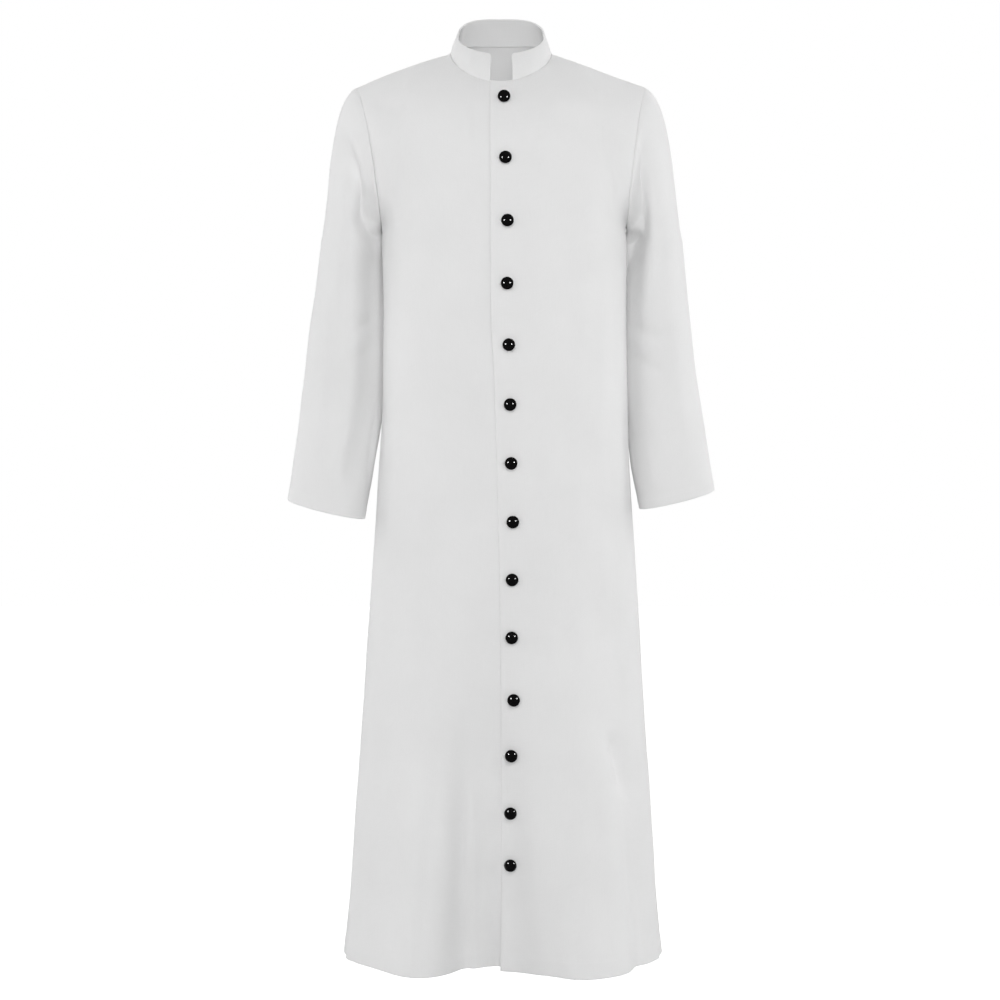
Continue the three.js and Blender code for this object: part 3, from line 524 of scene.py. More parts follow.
def ripples(a, b, seed, waves, height):
    """Soft uneven cloth, as a sum of waves across a and down b."""
    random = np.random.default_rng(seed)
    out = np.zeros(a.shape)
    for count, across_low, across_high, down_low, down_high in waves:
        for _ in range(count):
            across = random.uniform(across_low, across_high) * random.choice([-1, 1])
            down = random.uniform(down_low, down_high)
            phase = random.uniform(0, 2 * np.pi)
            out += np.sin(2 * np.pi * (a / across + b / down) + phase) * random.uniform(0.5, 1)
    return height * out / math.sqrt(sum(w[0] for w in waves))


def girth(points, axis):
    """Lengths along the grid's lines."""
    step = np.linalg.norm(np.diff(points, axis=axis), axis=-1)
    pad = [(0, 0), (0, 0)]
    pad[axis] = (1, 0)
    return np.cumsum(np.pad(step, pad), axis=axis)


def read_at(where, run, values):
    """Values along a line, read at lengths along it."""
    return np.stack([np.interp(where, run, column) for column in values.T], -1)


def normals(points, hand=1, closed=False):
    down = np.gradient(points, axis=0)
    if closed:
        around = np.roll(points, -1, axis=1) - np.roll(points, 1, axis=1)
    else:
        around = np.gradient(points, axis=1)
    return unit(np.cross(down, around)) * hand


def blur(points, sigma, axes=(0, 1)):
    """The grid smoothed along its directions, with its borders carried on straight."""
    reach = int(3 * sigma)
    kernel = np.exp(-((np.arange(-reach, reach + 1) / sigma) ** 2) / 2)
    kernel /= kernel.sum()
    for axis in axes:
        p = np.moveaxis(points, axis, 0)
        before = 2 * p[:1] - p[1 : reach + 1][::-1]
        after = 2 * p[-1:] - p[-reach - 1 : -1][::-1]
        padded = np.concatenate([before, p, after])
        p = sum(k * padded[i : i + len(p)] for i, k in enumerate(kernel))
        points = np.moveaxis(p, 0, axis)
    return points


def edge_distances(points):
    """How far each place lies from the first row, last row, first column and last column."""
    down, across = girth(points, 0), girth(points, 1)
    return down, down[-1:] - down, across, across[:, -1:] - across


def hold(height, fars, reach=13):
    """Lets the creases die away towards each seam."""
    for far in fars:
        height = height * ease(far, 0, reach)
    return height


def inset(points, by):
    """Pulls the borders of a grid in: by is (first row, last row, first column, last column).
    The lines beside a border follow it by less and less, so that they keep their order."""
    p = points.copy()
    for axis, ends in ((0, by[:2]), (1, by[2:])):
        far = girth(points, axis)
        step = unit(np.gradient(points, axis=axis))
        for distance, way, amount in ((far, 1, ends[0]), (np.take(far, [-1], axis) - far, -1, ends[1])):
            reach = max(6.0, 4 * abs(amount))
            p += step * (way * amount * np.clip(1 - distance / reach, 0, 1))[..., None]
    return p


# The rows of the body's panels, as shares of the way down: along the armhole, to the bust, to the hem
ROW_DOWNS = np.concatenate([
    np.linspace(0, ARMHOLE_SHARE, 64, endpoint=False),
    np.linspace(ARMHOLE_SHARE, 1, 14, endpoint=False),
    np.linspace(1, 2, int((BUST_Z - HEM_Z) / BODY_STEP) + 1),
])
EVEN_Z = -650  # where a panel's columns are evenly spaced
DEGREE_RUN = 3.6  # a degree round the body, as a length of cloth


def angle_at_x(x, down):
    low, high = np.full_like(down, -25.0), np.full_like(down, 30.0)
    for _ in range(40):
        middle = (low + high) / 2
        less = body_cloth(-1, middle, down)[..., 0] < x
        low, high = np.where(less, middle, low), np.where(less, high, middle)
    return (low + high) / 2


def panel_angles(start, end, low, high, step=BODY_STEP):
    """Each row's angles, from its own start to its own end. They are spaced as even columns from the
    angle low to the angle high are at EVEN_Z."""
    dense = np.linspace(low, high, 4000)
    run = girth(body_section(dense, np.full_like(dense, EVEN_Z))[None], 1)[0]
    count = int(round(run[-1] / step))
    levels = np.interp(np.linspace(0, run[-1], count + 1), run, dense)
    share = (levels - levels[0]) / (levels[-1] - levels[0])
    return start[:, None] + (end - start)[:, None] * share


def seam_pucker(far, along, seed):
    """Small waves beside a seam, none on it."""
    return 0.32 * ripples(along, 0 * along, seed, PUCKER, 1) * np.exp(-far / 9) * (1 - np.exp(-far / 3))


def body_piece(face, angles, seed, edges):
    """A panel's outer points at a grid of angles, and how far each lies from each border. Its creases
    die away at each seam, and the seams pucker a little."""
    down = np.broadcast_to(ROW_DOWNS[:, None], angles.shape)
    points = body_cloth(face, angles, down)
    top, _, first, last = edge_distances(points)
    inside = np.minimum(top, np.where(down < 1.06, np.minimum(first, last), 1e3))
    calm = ease(inside, 0, 45) * (1 - ease(down, 0.75, 1.0))
    once = blur(points, 5)
    points = mix(points, 2 * once - blur(once, 5), calm[..., None])
    normal = normals(points)
    x, z = points[..., 0], points[..., 2]
    height = np.zeros(x.shape)
    for values in FRONT_CREASES if face < 0 else BACK_CREASES:
        height += crease(x, z, *values) * DRAPE[face]
    run = angles * DEGREE_RUN
    height += ripples(run, z, seed, HANG, 0.75) * ease(-z, 60, 420)
    height += ripples(run, z, seed + 1, SOFT, 0.3)
    height += 0.4 * ease(z, HEM_Z + HEM_DEEP + 2.5, HEM_Z + HEM_DEEP - 1.5)
    fars = edge_distances(points)
    seams = [far for far, kind in zip(fars, edges) if kind == "s"]
    height = hold(height, seams)
    for k, far in enumerate(seams):
        height = height + seam_pucker(far, z if k else run, seed + 10 + k)
    return points + normal * height[..., None], fars


ROUND_CUTS = 4  # parts of the half circle that rounds each edge
SEWN_ROUND = 0.45  # how far a sewn edge swells out, against its half thickness
SEWN_INSET = CLOTH_THICK / 2 * SEWN_ROUND + 0.03  # how far a sewn edge is pulled in, for a narrow gap
FOLDED_INSET = 1.05
TURNED_FADE = 4  # how long a turned-in border takes to thin out


def grid_faces(at):
    """The four corners of each cell of a grid, as rows of a list."""
    return np.stack([at[:-1, :-1], at[1:, :-1], at[1:, 1:], at[:-1, 1:]], 2).reshape(-1, 4, *at.shape[2:])


def wall(name, points, normal, thick, closed, edges, inner_material=None):
    """A closed cloth wall behind a grid of outer points, its edges rounded. thick may vary by place.
    edges tells the first row, last row, first column and last column as folded (f) or sewn (s).
    inner_material is the material of its inner face, where that differs: for the collar, the same white cloth
    in a darker grey, as painted shade.
    Its map named Cloth is in metres along the cloth, and OFBake lays both faces and the edges flat."""
    rows, columns = points.shape[:2]
    inner = points - normal * np.broadcast_to(thick, (rows, columns))[..., None]
    along_u, along_v = girth(points, 1), girth(points, 0)
    outward = [unit(points[0] - points[1]), unit(points[-1] - points[-2])]
    outer_at = np.arange(rows * columns).reshape(rows, columns)
    if closed:
        wrap = np.linalg.norm(points[:, :1] - points[:, -1:], axis=-1)
        along_u = np.hstack([along_u, along_u[:, -1:] + wrap])
        along_v = np.hstack([along_v, along_v[:, :1]])
        outward = [np.vstack([out, out[:1]]) for out in outward]
        outer_at = np.hstack([outer_at, outer_at[:, :1]])
    along_u = along_u - along_u.mean(axis=1, keepdims=True)
    inner_at = outer_at + rows * columns
    flat = np.concatenate([points.reshape(-1, 3), inner.reshape(-1, 3)])
    vertices = [flat]
    cloth = np.stack([along_u, -along_v], -1) * MM
    u, v = np.meshgrid(np.linspace(0, 1, outer_at.shape[1]), np.linspace(1, 0, rows))
    faces = [grid_faces(outer_at), grid_faces(inner_at)]
    cloth_uv = [grid_faces(cloth), grid_faces(cloth)]
    bake_uv = [grid_faces(np.stack([left + 0.47 * u, 0.06 + 0.93 * v], -1)) for left in (0.01, 0.52)]

    def rim(outer_line, inner_line, out, cloth_line, place, kind):
        """Rounds one edge with rings between its outer and inner line, and gives the rings."""
        p, q = flat[outer_line], flat[inner_line]
        middle, half = (p + q) / 2, (p - q) / 2
        radius = np.linalg.norm(half, axis=-1, keepdims=True)
        far, power = (SEWN_ROUND, 0.5) if kind == "s" else (1, 1)
        rings = [outer_line]
        for k in range(1, ROUND_CUTS):
            cosine, sine = math.cos(math.pi * k / ROUND_CUTS), math.sin(math.pi * k / ROUND_CUTS)
            level = math.copysign(abs(cosine) ** power, cosine) if k != ROUND_CUTS / 2 else 0
            ring = middle + half * level + out * radius * far * sine**power
            at = sum(len(part) for part in vertices) + np.arange(len(ring))
            if outer_line[0] == outer_line[-1]:
                ring, at = ring[:-1], np.append(at[:-1], at[0])
            vertices.append(ring)
            rings.append(at)
        at = np.stack([*rings, inner_line])
        across = np.linspace(0, 0.009, ROUND_CUTS + 1)[:, None] + place
        bake = np.stack(np.broadcast_arrays(np.linspace(0.01, 0.99, at.shape[1])[None, :], across), -1)
        step = np.arange(ROUND_CUTS + 1)[:, None] * MM * radius.mean() * math.pi / ROUND_CUTS
        faces.append(grid_faces(at))
        cloth_uv.append(grid_faces(cloth_line[None] + np.stack([0 * step, step], -1)))
        bake_uv.append(grid_faces(bake))
        return at

    top = rim(outer_at[0], inner_at[0], outward[0], cloth[0], 0.002, edges[0])
    bottom = rim(outer_at[-1], inner_at[-1], outward[1], cloth[-1], 0.015, edges[1])
    if not closed:
        sides = []
        for c, beside, place, kind in ((0, 1, 0.028, edges[2]), (-1, -2, 0.041, edges[3])):
            out = unit(points[:, c] - points[:, beside])
            sides.append(rim(outer_at[:, c], inner_at[:, c], out, cloth[:, c], place, kind))
        # Small caps join the rings of two edges where they end at the same corner.
        meetings = [(edge, row, c) for edge, row in ((top, 0), (bottom, -1)) for c in (0, -1)]
        for i, (edge, row, c) in enumerate(meetings):
            a, b = edge[:, c], sides[c][:, row]
            for k in range(ROUND_CUTS):
                cap = list(dict.fromkeys([a[k], a[k + 1], b[k + 1], b[k]]))
                spot = np.array([(0, 0), (0, 1), (1, 1), (1, 0)][: len(cap)]) * 0.001
                spot = spot + (0.02 + 0.02 * i, 0.053 + 0.0012 * k)
                faces.append(np.array([cap]))
                cloth_uv.append(spot[None] * 0.1)
                bake_uv.append(spot[None])
    maps = {"Cloth": cloth_uv, "OFBake": bake_uv}
    if inner_material is None:
        return make_mesh(name, np.concatenate(vertices), faces, [white_cloth], maps)
    slots = np.concatenate([np.full(len(part), int(i == 1)) for i, part in enumerate(faces)])
    return make_mesh(name, np.concatenate(vertices), faces, [white_cloth, inner_material], maps, slots)


def make_mesh(name, vertices, faces, materials, maps=None, slots=None):
    """A smooth-shaded mesh object from lists of faces, each list with faces of one size. Millimetres."""
    mesh = bpy.data.meshes.new(name)
    mesh.vertices.add(len(vertices))
    mesh.vertices.foreach_set("co", np.asarray(vertices * MM, np.float32).ravel())
    sizes = np.concatenate([np.full(len(part), part.shape[1]) for part in faces])
    loops = np.concatenate([part.ravel() for part in faces])
    mesh.loops.add(len(loops))
    mesh.loops.foreach_set("vertex_index", loops.astype(np.int32))
    mesh.polygons.add(len(sizes))
    starts = np.concatenate([[0], np.cumsum(sizes)[:-1]])
    mesh.polygons.foreach_set("loop_start", starts.astype(np.int32))
    for map_name, parts in (maps or {}).items():
        spots = np.concatenate([part.reshape(-1, 2) for part in parts])
        layer = mesh.uv_layers.new(name=map_name)
        layer.uv.foreach_set("vector", spots.astype(np.float32).ravel())
    for material in materials:
        mesh.materials.append(material)
    if slots is not None:
        mesh.polygons.foreach_set("material_index", slots.astype(np.int32))
    mesh.update(calc_edges=True)
    work = bmesh.new()
    work.from_mesh(mesh)
    bmesh.ops.recalc_face_normals(work, faces=work.faces[:])
    work.to_mesh(mesh)
    work.free()
    mesh.shade_smooth()
    piece = bpy.data.objects.new(name, mesh)
    scene.collection.objects.link(piece)
    return piece


# Materials. Every pattern is built from nodes. Lengths in the nodes are metres.
THREADS_PER_METRE = 1 / 0.0007
WAVE_METRE = 2 * math.pi / 20  # a wave node's scale that gives one wave to the metre


class Nodes:
    """The nodes of a material or of the world."""

    def __init__(self, owner):
        owner.use_nodes = True
        self.tree = owner.node_tree

    def feed(self, node, inputs):
        """Sets a node's sockets, and links those that get another node's output."""
        for key, value in inputs.items():
            if isinstance(value, bpy.types.NodeSocket):
                self.tree.links.new(value, node.inputs[key])
            else:
                node.inputs[key].default_value = value

    def add(self, kind, output=0, inputs=None, **settings):
        """Adds a node and gives one of its outputs."""
        node = self.tree.nodes.new("ShaderNode" + kind)
        for key, value in settings.items():
            setattr(node, key, value)
        self.feed(node, inputs or {})
        return node.outputs[output]

    def span(self, source, low, high, start=0.0, end=1.0):
        """Turns a source from start to end into low to high."""
        ends = {"From Min": start, "From Max": end, "To Min": low, "To Max": high}
        return self.add("MapRange", "Result", {"Value": source, **ends})

    def math(self, operation, a, b):
        return self.add("Math", 0, {0: a, 1: b}, operation=operation)

    def noise(self, where, scale, detail, stretch=(1, 1, 1)):
        place = self.add("Mapping", 0, {"Vector": where, "Scale": stretch})
        return self.add("TexNoise", "Fac", {"Vector": place, "Scale": scale, "Detail": detail})

    def waves(self, where, direction, scale):
        """Threads side by side along one direction of the cloth."""
        return self.add("TexWave", "Fac", {"Vector": where, "Scale": scale}, bands_direction=direction)

    def colour(self, factor, a, b, **settings):
        inputs = {"Factor": factor, "A": a, "B": b}
        return self.add("Mix", "Result", inputs, data_type="RGBA", **settings)

    def bump(self, height, strength, distance):
        inputs = {"Height": height, "Strength": strength, "Distance": distance}
        return self.add("Bump", "Normal", inputs)


def new_material(name, make_surface):
    """A material whose surface is given by a function of its nodes."""
    material = bpy.data.materials.new(name)
    nodes = Nodes(material)
    nodes.feed(nodes.tree.nodes["Principled BSDF"], make_surface(nodes))
    return material


def woven_cloth(nodes, tone):
    """Plain-woven matt cloth with slubs, soft mottling and a little sheen."""
    flat = nodes.add("UVMap", "UV", uv_map="Cloth")
    warp = nodes.waves(flat, "X", THREADS_PER_METRE * WAVE_METRE)
    weft = nodes.waves(flat, "Y", 0.85 * THREADS_PER_METRE * WAVE_METRE)
    weave = nodes.math("MAXIMUM", warp, weft)
    slubs_down, slubs_across = (nodes.noise(flat, 30, 3.0, way) for way in ((38, 1.1, 1), (1.3, 46, 1)))
    slubs = nodes.math("ADD", slubs_down, slubs_across)
    cloudy = nodes.noise(nodes.add("TexCoord", "Object"), 9, 3.0)
    fine = nodes.noise(flat, 2600, 2.0)
    brightness = nodes.span(weave, 0.955, 1.0, 0.2, 1.0)
    brightness = nodes.math("MULTIPLY", brightness, nodes.span(slubs, 0.985, 1.015, 0.7, 1.3))
    brightness = nodes.math("MULTIPLY", brightness, nodes.span(cloudy, 0.985, 1.012, 0.3, 0.7))
    height = nodes.math("ADD", nodes.math("MULTIPLY", weave, 0.6), nodes.math("MULTIPLY", slubs, 0.5))
    height = nodes.math("ADD", height, nodes.math("MULTIPLY", fine, 0.35))
    return {
        "Base Color": nodes.colour(1.0, (tone, tone, tone, 1), brightness, blend_type="MULTIPLY"),
        "Roughness": nodes.span(cloudy, 0.8, 0.93, 0.3, 0.7),
        "Specular IOR Level": 0.25,
        "Sheen Weight": 0.12,
        "Sheen Roughness": 0.45,
        "Normal": nodes.bump(height, 0.35, 0.00012),
    }


def twisted_thread(nodes):
    twist = nodes.waves(nodes.add("TexCoord", "Object"), "DIAGONAL", 700)
    return {
        "Base Color": nodes.colour(twist, (0.82, 0.82, 0.82, 1), (0.88, 0.88, 0.88, 1)),
        "Roughness": nodes.span(twist, 0.55, 0.75),
        "Sheen Weight": 0.2,
        "Normal": nodes.bump(twist, 0.3, 0.00008),
    }


def glossy_plastic(nodes):
    """Moulded black plastic, very slightly uneven, with fine handling marks."""
    where = nodes.add("TexCoord", "Object")
    marks = nodes.noise(where, 1400, 3.0, (1, 1, 5))
    uneven = nodes.noise(where, 220, 1.0)
    return {
        "Base Color": nodes.colour(uneven, (0.002, 0.002, 0.0022, 1), (0.006, 0.0055, 0.0055, 1)),
        "Roughness": nodes.span(marks, 0.07, 0.14, 0.35, 0.75),
        "Specular IOR Level": 0.4,
        "Coat Weight": 0.3,
        "Coat Roughness": 0.04,
        "Normal": nodes.bump(uneven, 0.06, 0.0001),
    }


white_cloth = new_material("white_robe_cloth", lambda nodes: woven_cloth(nodes, 0.87))
# The collar's inner face: the same white cloth painted a darker grey, as painted shade for the dim inside of
# the collar.
collar_shade_material = new_material("collar_painted_shade_cloth", lambda nodes: woven_cloth(nodes, 0.74))
thread = new_material("sewing_thread", twisted_thread)
black_plastic = new_material("gloss_black_plastic", glossy_plastic)

# The body's panels, each with how its top, hem, first and last side are made: sewn (s) or folded (f)
EDGES = {"front_left": "sffs", "front_right": "sfsf", "back": "sfss"}
SIDE = np.full_like(ROW_DOWNS, 90.0)
edge_x = over_edge(body_cloth(-1, 0 * ROW_DOWNS, ROW_DOWNS)[:, 2])
over_angles = panel_angles(angle_at_x(edge_x, ROW_DOWNS), SIDE, -4, 90)
under_angles = panel_angles(-SIDE, angle_at_x(edge_x + UNDER_WIDTH, ROW_DOWNS), -90, 14)
back_angles = panel_angles(SIDE, SIDE * 3, 90, 270, BACK_STEP)
over_points, over_far = body_piece(-1, over_angles, 3, EDGES["front_left"])
under_points, under_far = body_piece(-1, under_angles, 3, EDGES["front_right"])
back_points, back_far = body_piece(1, back_angles, 5, EDGES["back"])

# How far the over front's free edge stands off the under front, by height
EDGE_LIFT = np.array([
    (-60, 0.3), (-120, 1.5), (-220, 1.2), (-330, 2.1), (-450, 1.7), (-540, 0.7), (-640, 0.15), (-900, 0.3),
    (-1200, 0.2), (-1330, 1.2), (-1406, 3.4),
], float)

# The over front lies on the under front, its edge lifts a little, and each button dents it.
across, z = over_far[2], over_points[..., 2]
lifted = (LAP + 1.3 * ease(-z, 1270, 1390)) * (1 - ease(across, 68, 112))
lifted += curve(EDGE_LIFT, 1)(z) * np.exp(-((across / 24) ** 2))
for button_z, button_x in BUTTONS:
    far = np.hypot(over_points[..., 0] - button_x, z - button_z)
    lifted -= 0.25 * np.exp(-((far / 11) ** 2))
over_points += normals(over_points) * lifted[..., None]
over_points[..., 2] -= 4.5 * np.exp(-((across / 60) ** 2)) * ease(over_far[1], 160, 0)
over_places, over_normals = over_points.reshape(-1, 3), normals(over_points).reshape(-1, 3)


# Sewing
class Threads:
    """Collects small closed threads into one mesh."""

    def __init__(self):
        self.vertices, self.quads, self.caps, self.count = [], [], [], 0

    def add(self, starts, ends, up, radius, arch, stations=5, sides=5, sink=0.35):
        """Threads from each start to each end, arched over the cloth by arch, with their ends sunk in."""
        n = len(starts)
        t = np.linspace(0, 1, stations)
        along = unit(ends - starts)
        aside = unit(np.cross(up, along))
        up = np.cross(along, aside)
        bow = (arch + sink) * np.sin(np.pi * t) ** 0.6 - sink
        thick = radius * np.where((t == 0) | (t == 1), 0.6, 1.0)
        turn = 2 * np.pi * np.arange(sides)[:, None] / sides
        centre = starts[:, None] + (ends - starts)[:, None] * t[:, None] + up[:, None] * bow[:, None]
        ring = aside[:, None, None] * np.cos(turn) + up[:, None, None] * np.sin(turn)
        p = centre[:, :, None] + ring * thick[:, None, None]
        at = self.count + np.arange(n * stations * sides).reshape(n, stations, sides)
        around = np.concatenate([at, at[..., :1]], axis=2)
        self.quads += [grid_faces(one) for one in around]
        self.caps += [at[:, 0], at[:, -1]]
        self.vertices.append(p.reshape(-1, 3))
        self.count += n * stations * sides

    def piece(self, name):
        return make_mesh(name, np.concatenate(self.vertices), [*self.quads, *self.caps], [thread])


def stitch(threads, points, normal, far, at, axis=0, skip=(2, 2), closed=False):
    """A row of machine stitches where a grid's far, the distance from one of its borders, is at.
    It leaves some of the grid's lines free at its ends, or runs round a closed grid."""
    line, up = [], []
    for p, n, f in zip(*(np.moveaxis(part, axis, 1) for part in (points, normal, far))):
        order = slice(None, None, 1 if f[-1] > f[0] else -1)
        line.append(read_at(at, f[order], p[order]))
        up.append(read_at(at, f[order], n[order]))
    if closed:
        line, up = np.array([*line, line[0]]), np.array([*up, up[0]])
    else:
        line, up = (np.array(part[skip[0] : len(part) - skip[1]]) for part in (line, up))
    run = girth(line[None], 1)[0]
    count = int(run[-1] / STITCH_PITCH)
    starts = (np.arange(count) + 0.15) * run[-1] / count
    middle_up = unit(read_at(starts + STITCH_LENGTH / 2, run, unit(up)))
    starts += rng.uniform(-0.12, 0.12, count)
    ends = starts + STITCH_LENGTH
    threads.add(read_at(starts, run, line), read_at(ends, run, line), middle_up, STITCH_RADIUS, 0.12)


def on_over_front(x, z):
    """The place and normal of the over front's cloth at an x and z."""
    far = np.hypot(over_places[:, 0] - x, over_places[:, 2] - z)
    near = np.argsort(far)[:9]
    weight = 1 / (far[near] + 0.2)[:, None]
    n = unit((over_normals[near] * weight).sum(0))
    p = (over_places[near] * weight).sum(0) / weight.sum()
    shift = np.array([x - p[0], 0, z - p[2]])
    shift[1] = -(n[0] * shift[0] + n[2] * shift[2]) / n[1]
    return p + shift, n


HOLE_LEFT, HOLE_RIGHT, HOLE_HALF = 12.5, 3.0, 0.3  # a buttonhole's reach from its button, and half width
HOLE_STITCHES, HOLE_DEEP, HOLE_RADIUS = 44, 1.6, 0.25
BAR_THREADS, BAR_PITCH, BAR_HALF = 4, 0.45, 2.0


def buttonhole(threads, button_z, button_x):
    """Close stitches along both sides of the slit, and a bar across its outer end."""

    def directions(x):
        place, up = on_over_front(x, button_z)
        right = unit(np.cross(up, [0, 0, 1.0]))
        return place, up, right, np.cross(right, up)

    starts, ends, ups = [], [], []
    for x in button_x - HOLE_LEFT + (HOLE_LEFT + HOLE_RIGHT) * np.linspace(0, 1, HOLE_STITCHES):
        place, up, _, upward = directions(x)
        for way in (-1, 1):
            deep = HOLE_DEEP + rng.uniform(-0.08, 0.08)
            starts.append(place + upward * way * HOLE_HALF)
            ends.append(place + upward * way * (HOLE_HALF + deep))
            ups.append(up)
    stitches = [np.array(part) for part in (starts, ends, ups)]
    threads.add(*stitches, HOLE_RADIUS, 0.08, stations=4, sides=4, sink=0.15)
    place, up, right, upward = directions(button_x - HOLE_LEFT)
    bars = place - right * np.arange(BAR_THREADS)[:, None] * BAR_PITCH
    ups = np.repeat(up[None], BAR_THREADS, 0)
    threads.add(bars - upward * BAR_HALF, bars + upward * BAR_HALF, ups, HOLE_RADIUS, 0.15, sink=0.15)


def cloth_piece(
    node, points, thick, by, edges, rows, hand=1, closed=False, inner_material=None, holes=(),
):
    """Makes one piece of cloth, with its rows of stitches and its buttonholes, and puts it in the frame."""
    placed = inset(points, by)
    piece = wall("cloth_" + node, placed, normals(placed, hand, closed), thick, closed, edges, inner_material)
    threads = Threads()
    normal = normals(points, hand, closed)
    for row in rows:
        stitch(threads, points, normal, *row, closed=closed)
    for button_z, button_x in holes:
        buttonhole(threads, button_z, button_x)
    sewing = threads.piece("stitching_" + node)
    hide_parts(node)
    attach(piece, "root")
    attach(sewing, "root")


def turned_in(far, deep):
    """The thickness beside a border where the cloth is turned in by deep."""
    return mix(CLOTH_THICK, TURNED_THICK, ease(far, deep, deep - TURNED_FADE))


def body_panel(node, points, fars, rows=(), holes=()):
    """A front or the back. Its folded borders are turned in, and its hem is stitched."""
    edges = EDGES[node]
    thick = np.full(points.shape[:2], CLOTH_THICK)
    for far, kind, deep in zip(fars, edges, (0, HEM_DEEP, FACING_DEEP, FACING_DEEP)):
        if kind == "f":
            thick = np.maximum(thick, turned_in(far, deep))
    by = [SEWN_INSET if kind == "s" else FOLDED_INSET for kind in edges]
    rows = [*rows, (fars[1], HEM_DEEP - STITCH_SIDE)]
    cloth_piece(node, points, thick, by, edges, rows, holes=holes)


edge_row = (over_far[2], EDGE_STITCH, 1)
body_panel("front_left", over_points, over_far, [edge_row], BUTTONS)
body_panel("front_right", under_points, under_far)
body_panel("back", back_points, back_far)

# Sleeves
CAP_ROWS, ARM_ROWS, SLEEVE_COLUMNS = 46, 114, 108
CAP_EASE = [(6, 14, 30, 1e6, 2e6)]
CUFF_SWING = [(5, 60, 130, 1e6, 2e6)]


def sleeve_cloth(side):
    """A sleeve's outer points, with its creases laid in front and behind, and how far each lies from
    its top and from its cuff."""
    along = np.concatenate([np.linspace(0, 1, CAP_ROWS, endpoint=False), np.linspace(1, 2, ARM_ROWS)])
    share = np.linspace(0, 1, SLEEVE_COLUMNS, endpoint=False)
    p = sleeve_form(side, share[None, :], along[:, None])
    # Each row's points are spread evenly round it.
    looped = np.concatenate([p, p[:, :1]], axis=1)
    p = np.stack([read_at(share * run[-1], run, row) for run, row in zip(girth(looped, 1), looped)])
    normal = normals(p, side, closed=True)
    x, z = p[..., 0], p[..., 2]
    height = np.zeros(x.shape)
    for face in (-1, 1):
        facing = ease(face * normal[..., 1], 0.0, 0.45)
        for values in SLEEVE_CREASES[side, face]:
            height += crease(x, z, *values) * facing * ARM_DRAPE[face]
    far_top = girth(p, 0)
    far_cuff = far_top[-1:] - far_top
    turn = 2 * np.pi * share
    around = np.sin(turn + 0.6) * 50 + 0 * z
    height += ripples(around, z, 20 + side, HANG, 0.5) * ease(far_top, 20, 160)
    height += ripples(around, z, 24 + side, SOFT, 0.3)
    height = hold(height, [far_top], 10)
    seam_run = turn * 80 + 0 * z
    head = np.clip(1 - np.abs(share - 0.5) / 0.34, 0, 1)
    easing = ripples(seam_run, 0 * z, 40 + side, CAP_EASE, 0.5) * (0.35 + 0.65 * head)
    height += easing * np.exp(-far_top / 11) * (1 - np.exp(-far_top / 3))
    height += 0.45 * ease(far_cuff, CUFF_DEEP + 1.5, CUFF_DEEP - 1)
    height += ripples(seam_run, 0 * z, 50 + side, CUFF_SWING, 0.7) * ease(far_cuff, 60, 0)
    return p + normal * height[..., None], far_top, far_cuff


def sleeve(side, node):
    points, far_top, far_cuff = sleeve_cloth(side)
    rows = [(far_cuff, CUFF_DEEP - STITCH_SIDE), (far_top, 3.2)]
    cloth_piece(
        node, points, turned_in(far_cuff, CUFF_DEEP), (SEWN_INSET, FOLDED_INSET, 0, 0), "sfff", rows,
        hand=side, closed=True,
    )


sleeve(-1, "sleeve_right")
sleeve(1, "sleeve_left")

# Collar. It stands on the finished panels' neck edges, from one front end round the back to the other.
COLLAR_ROWS = 22
COLLAR_END_STEPS = np.array([0, 0.35, 1.0, 2.0, 3.2, 4.6, 6.2])
COLLAR_CORNER = 5.0


def neck_line():
    line = []
    for points, angles, middle, side in (
        (over_points, over_angles, 0, 1),
        (back_points, back_angles, 180, 0),
        (under_points, under_angles, 0, -1),
    ):
        on_neck = np.abs(angles[0] - middle) <= 90 * NECK_SHARE
        beside_gap = side * points[0][:, 0] >= abs(side) * COLLAR_GAP / 2
        line.append(points[0][on_neck & beside_gap])
    return np.concatenate(line)


def collar_cloth():
    """The collar's outer points. Its band bows out, its ends have round corners, and its edges are full."""
    neck = neck_line()
    run = girth(neck[None], 1)[0]
    total = run[-1]
    start = COLLAR_END_STEPS[-1] + COLLAR_STEP
    middle_run = np.linspace(start, total - start, int(total / COLLAR_STEP) - 6)
    along = np.concatenate([COLLAR_END_STEPS, middle_run, total - COLLAR_END_STEPS[::-1]])
    foot = blur(read_at(along, run, neck)[None], 3, axes=[1])[0]
    turn = np.arctan2(foot[:, 0] / NECK_HALF, (NECK_Y - foot[:, 1]) / NECK_DEPTH)
    rise = collar_rim(turn / DEGREE) - foot
    out = unit(np.cross(vector(np.cos(turn), np.sin(turn), 0 * turn), rise))
    tall = np.linalg.norm(rise, axis=-1)
    near_end = np.minimum(along, total - along)
    missing = np.maximum(0, COLLAR_CORNER - near_end)
    cut = COLLAR_CORNER - np.sqrt(np.maximum(0, COLLAR_CORNER**2 - missing**2))
    up = np.concatenate([[1, 0.985, 0.96, 0.925], np.linspace(0.88, 0, COLLAR_ROWS - 4)])[:, None]
    up = up * (1 - cut / tall)
    bow = 4 * up * (1 - up) * (COLLAR_BOW + 0.9 * np.sin(along / 31 + 0.8) * ease(near_end, 8, 40))
    full = 0.35 * np.exp(-((np.minimum((1 - up) * tall, near_end + 4) / 3.4) ** 4))
    wave = ripples(along + 0 * up, up * 60, 61, [(6, 24, 70, 200, 600)], 0.35) * ease(up, 0, 0.25)
    return foot + rise * up[..., None] + out * (bow + full + wave)[..., None]


collar_points = collar_cloth()
top, foot, *ends = edge_distances(collar_points)
collar_rows = [(top, 4.0, 0, (5, 5)), (foot, 2.5, 0, (5, 5)), *((end, 4.0, 1, (4, 2)) for end in ends)]
# The collar's inner face gets the darker grey copy of the white cloth, which is painted shade.
cloth_piece(
    "collar", collar_points, COLLAR_THICK, (1.5, -0.3, 0, 0), "fsff", collar_rows,
    inner_material=collar_shade_material,
)

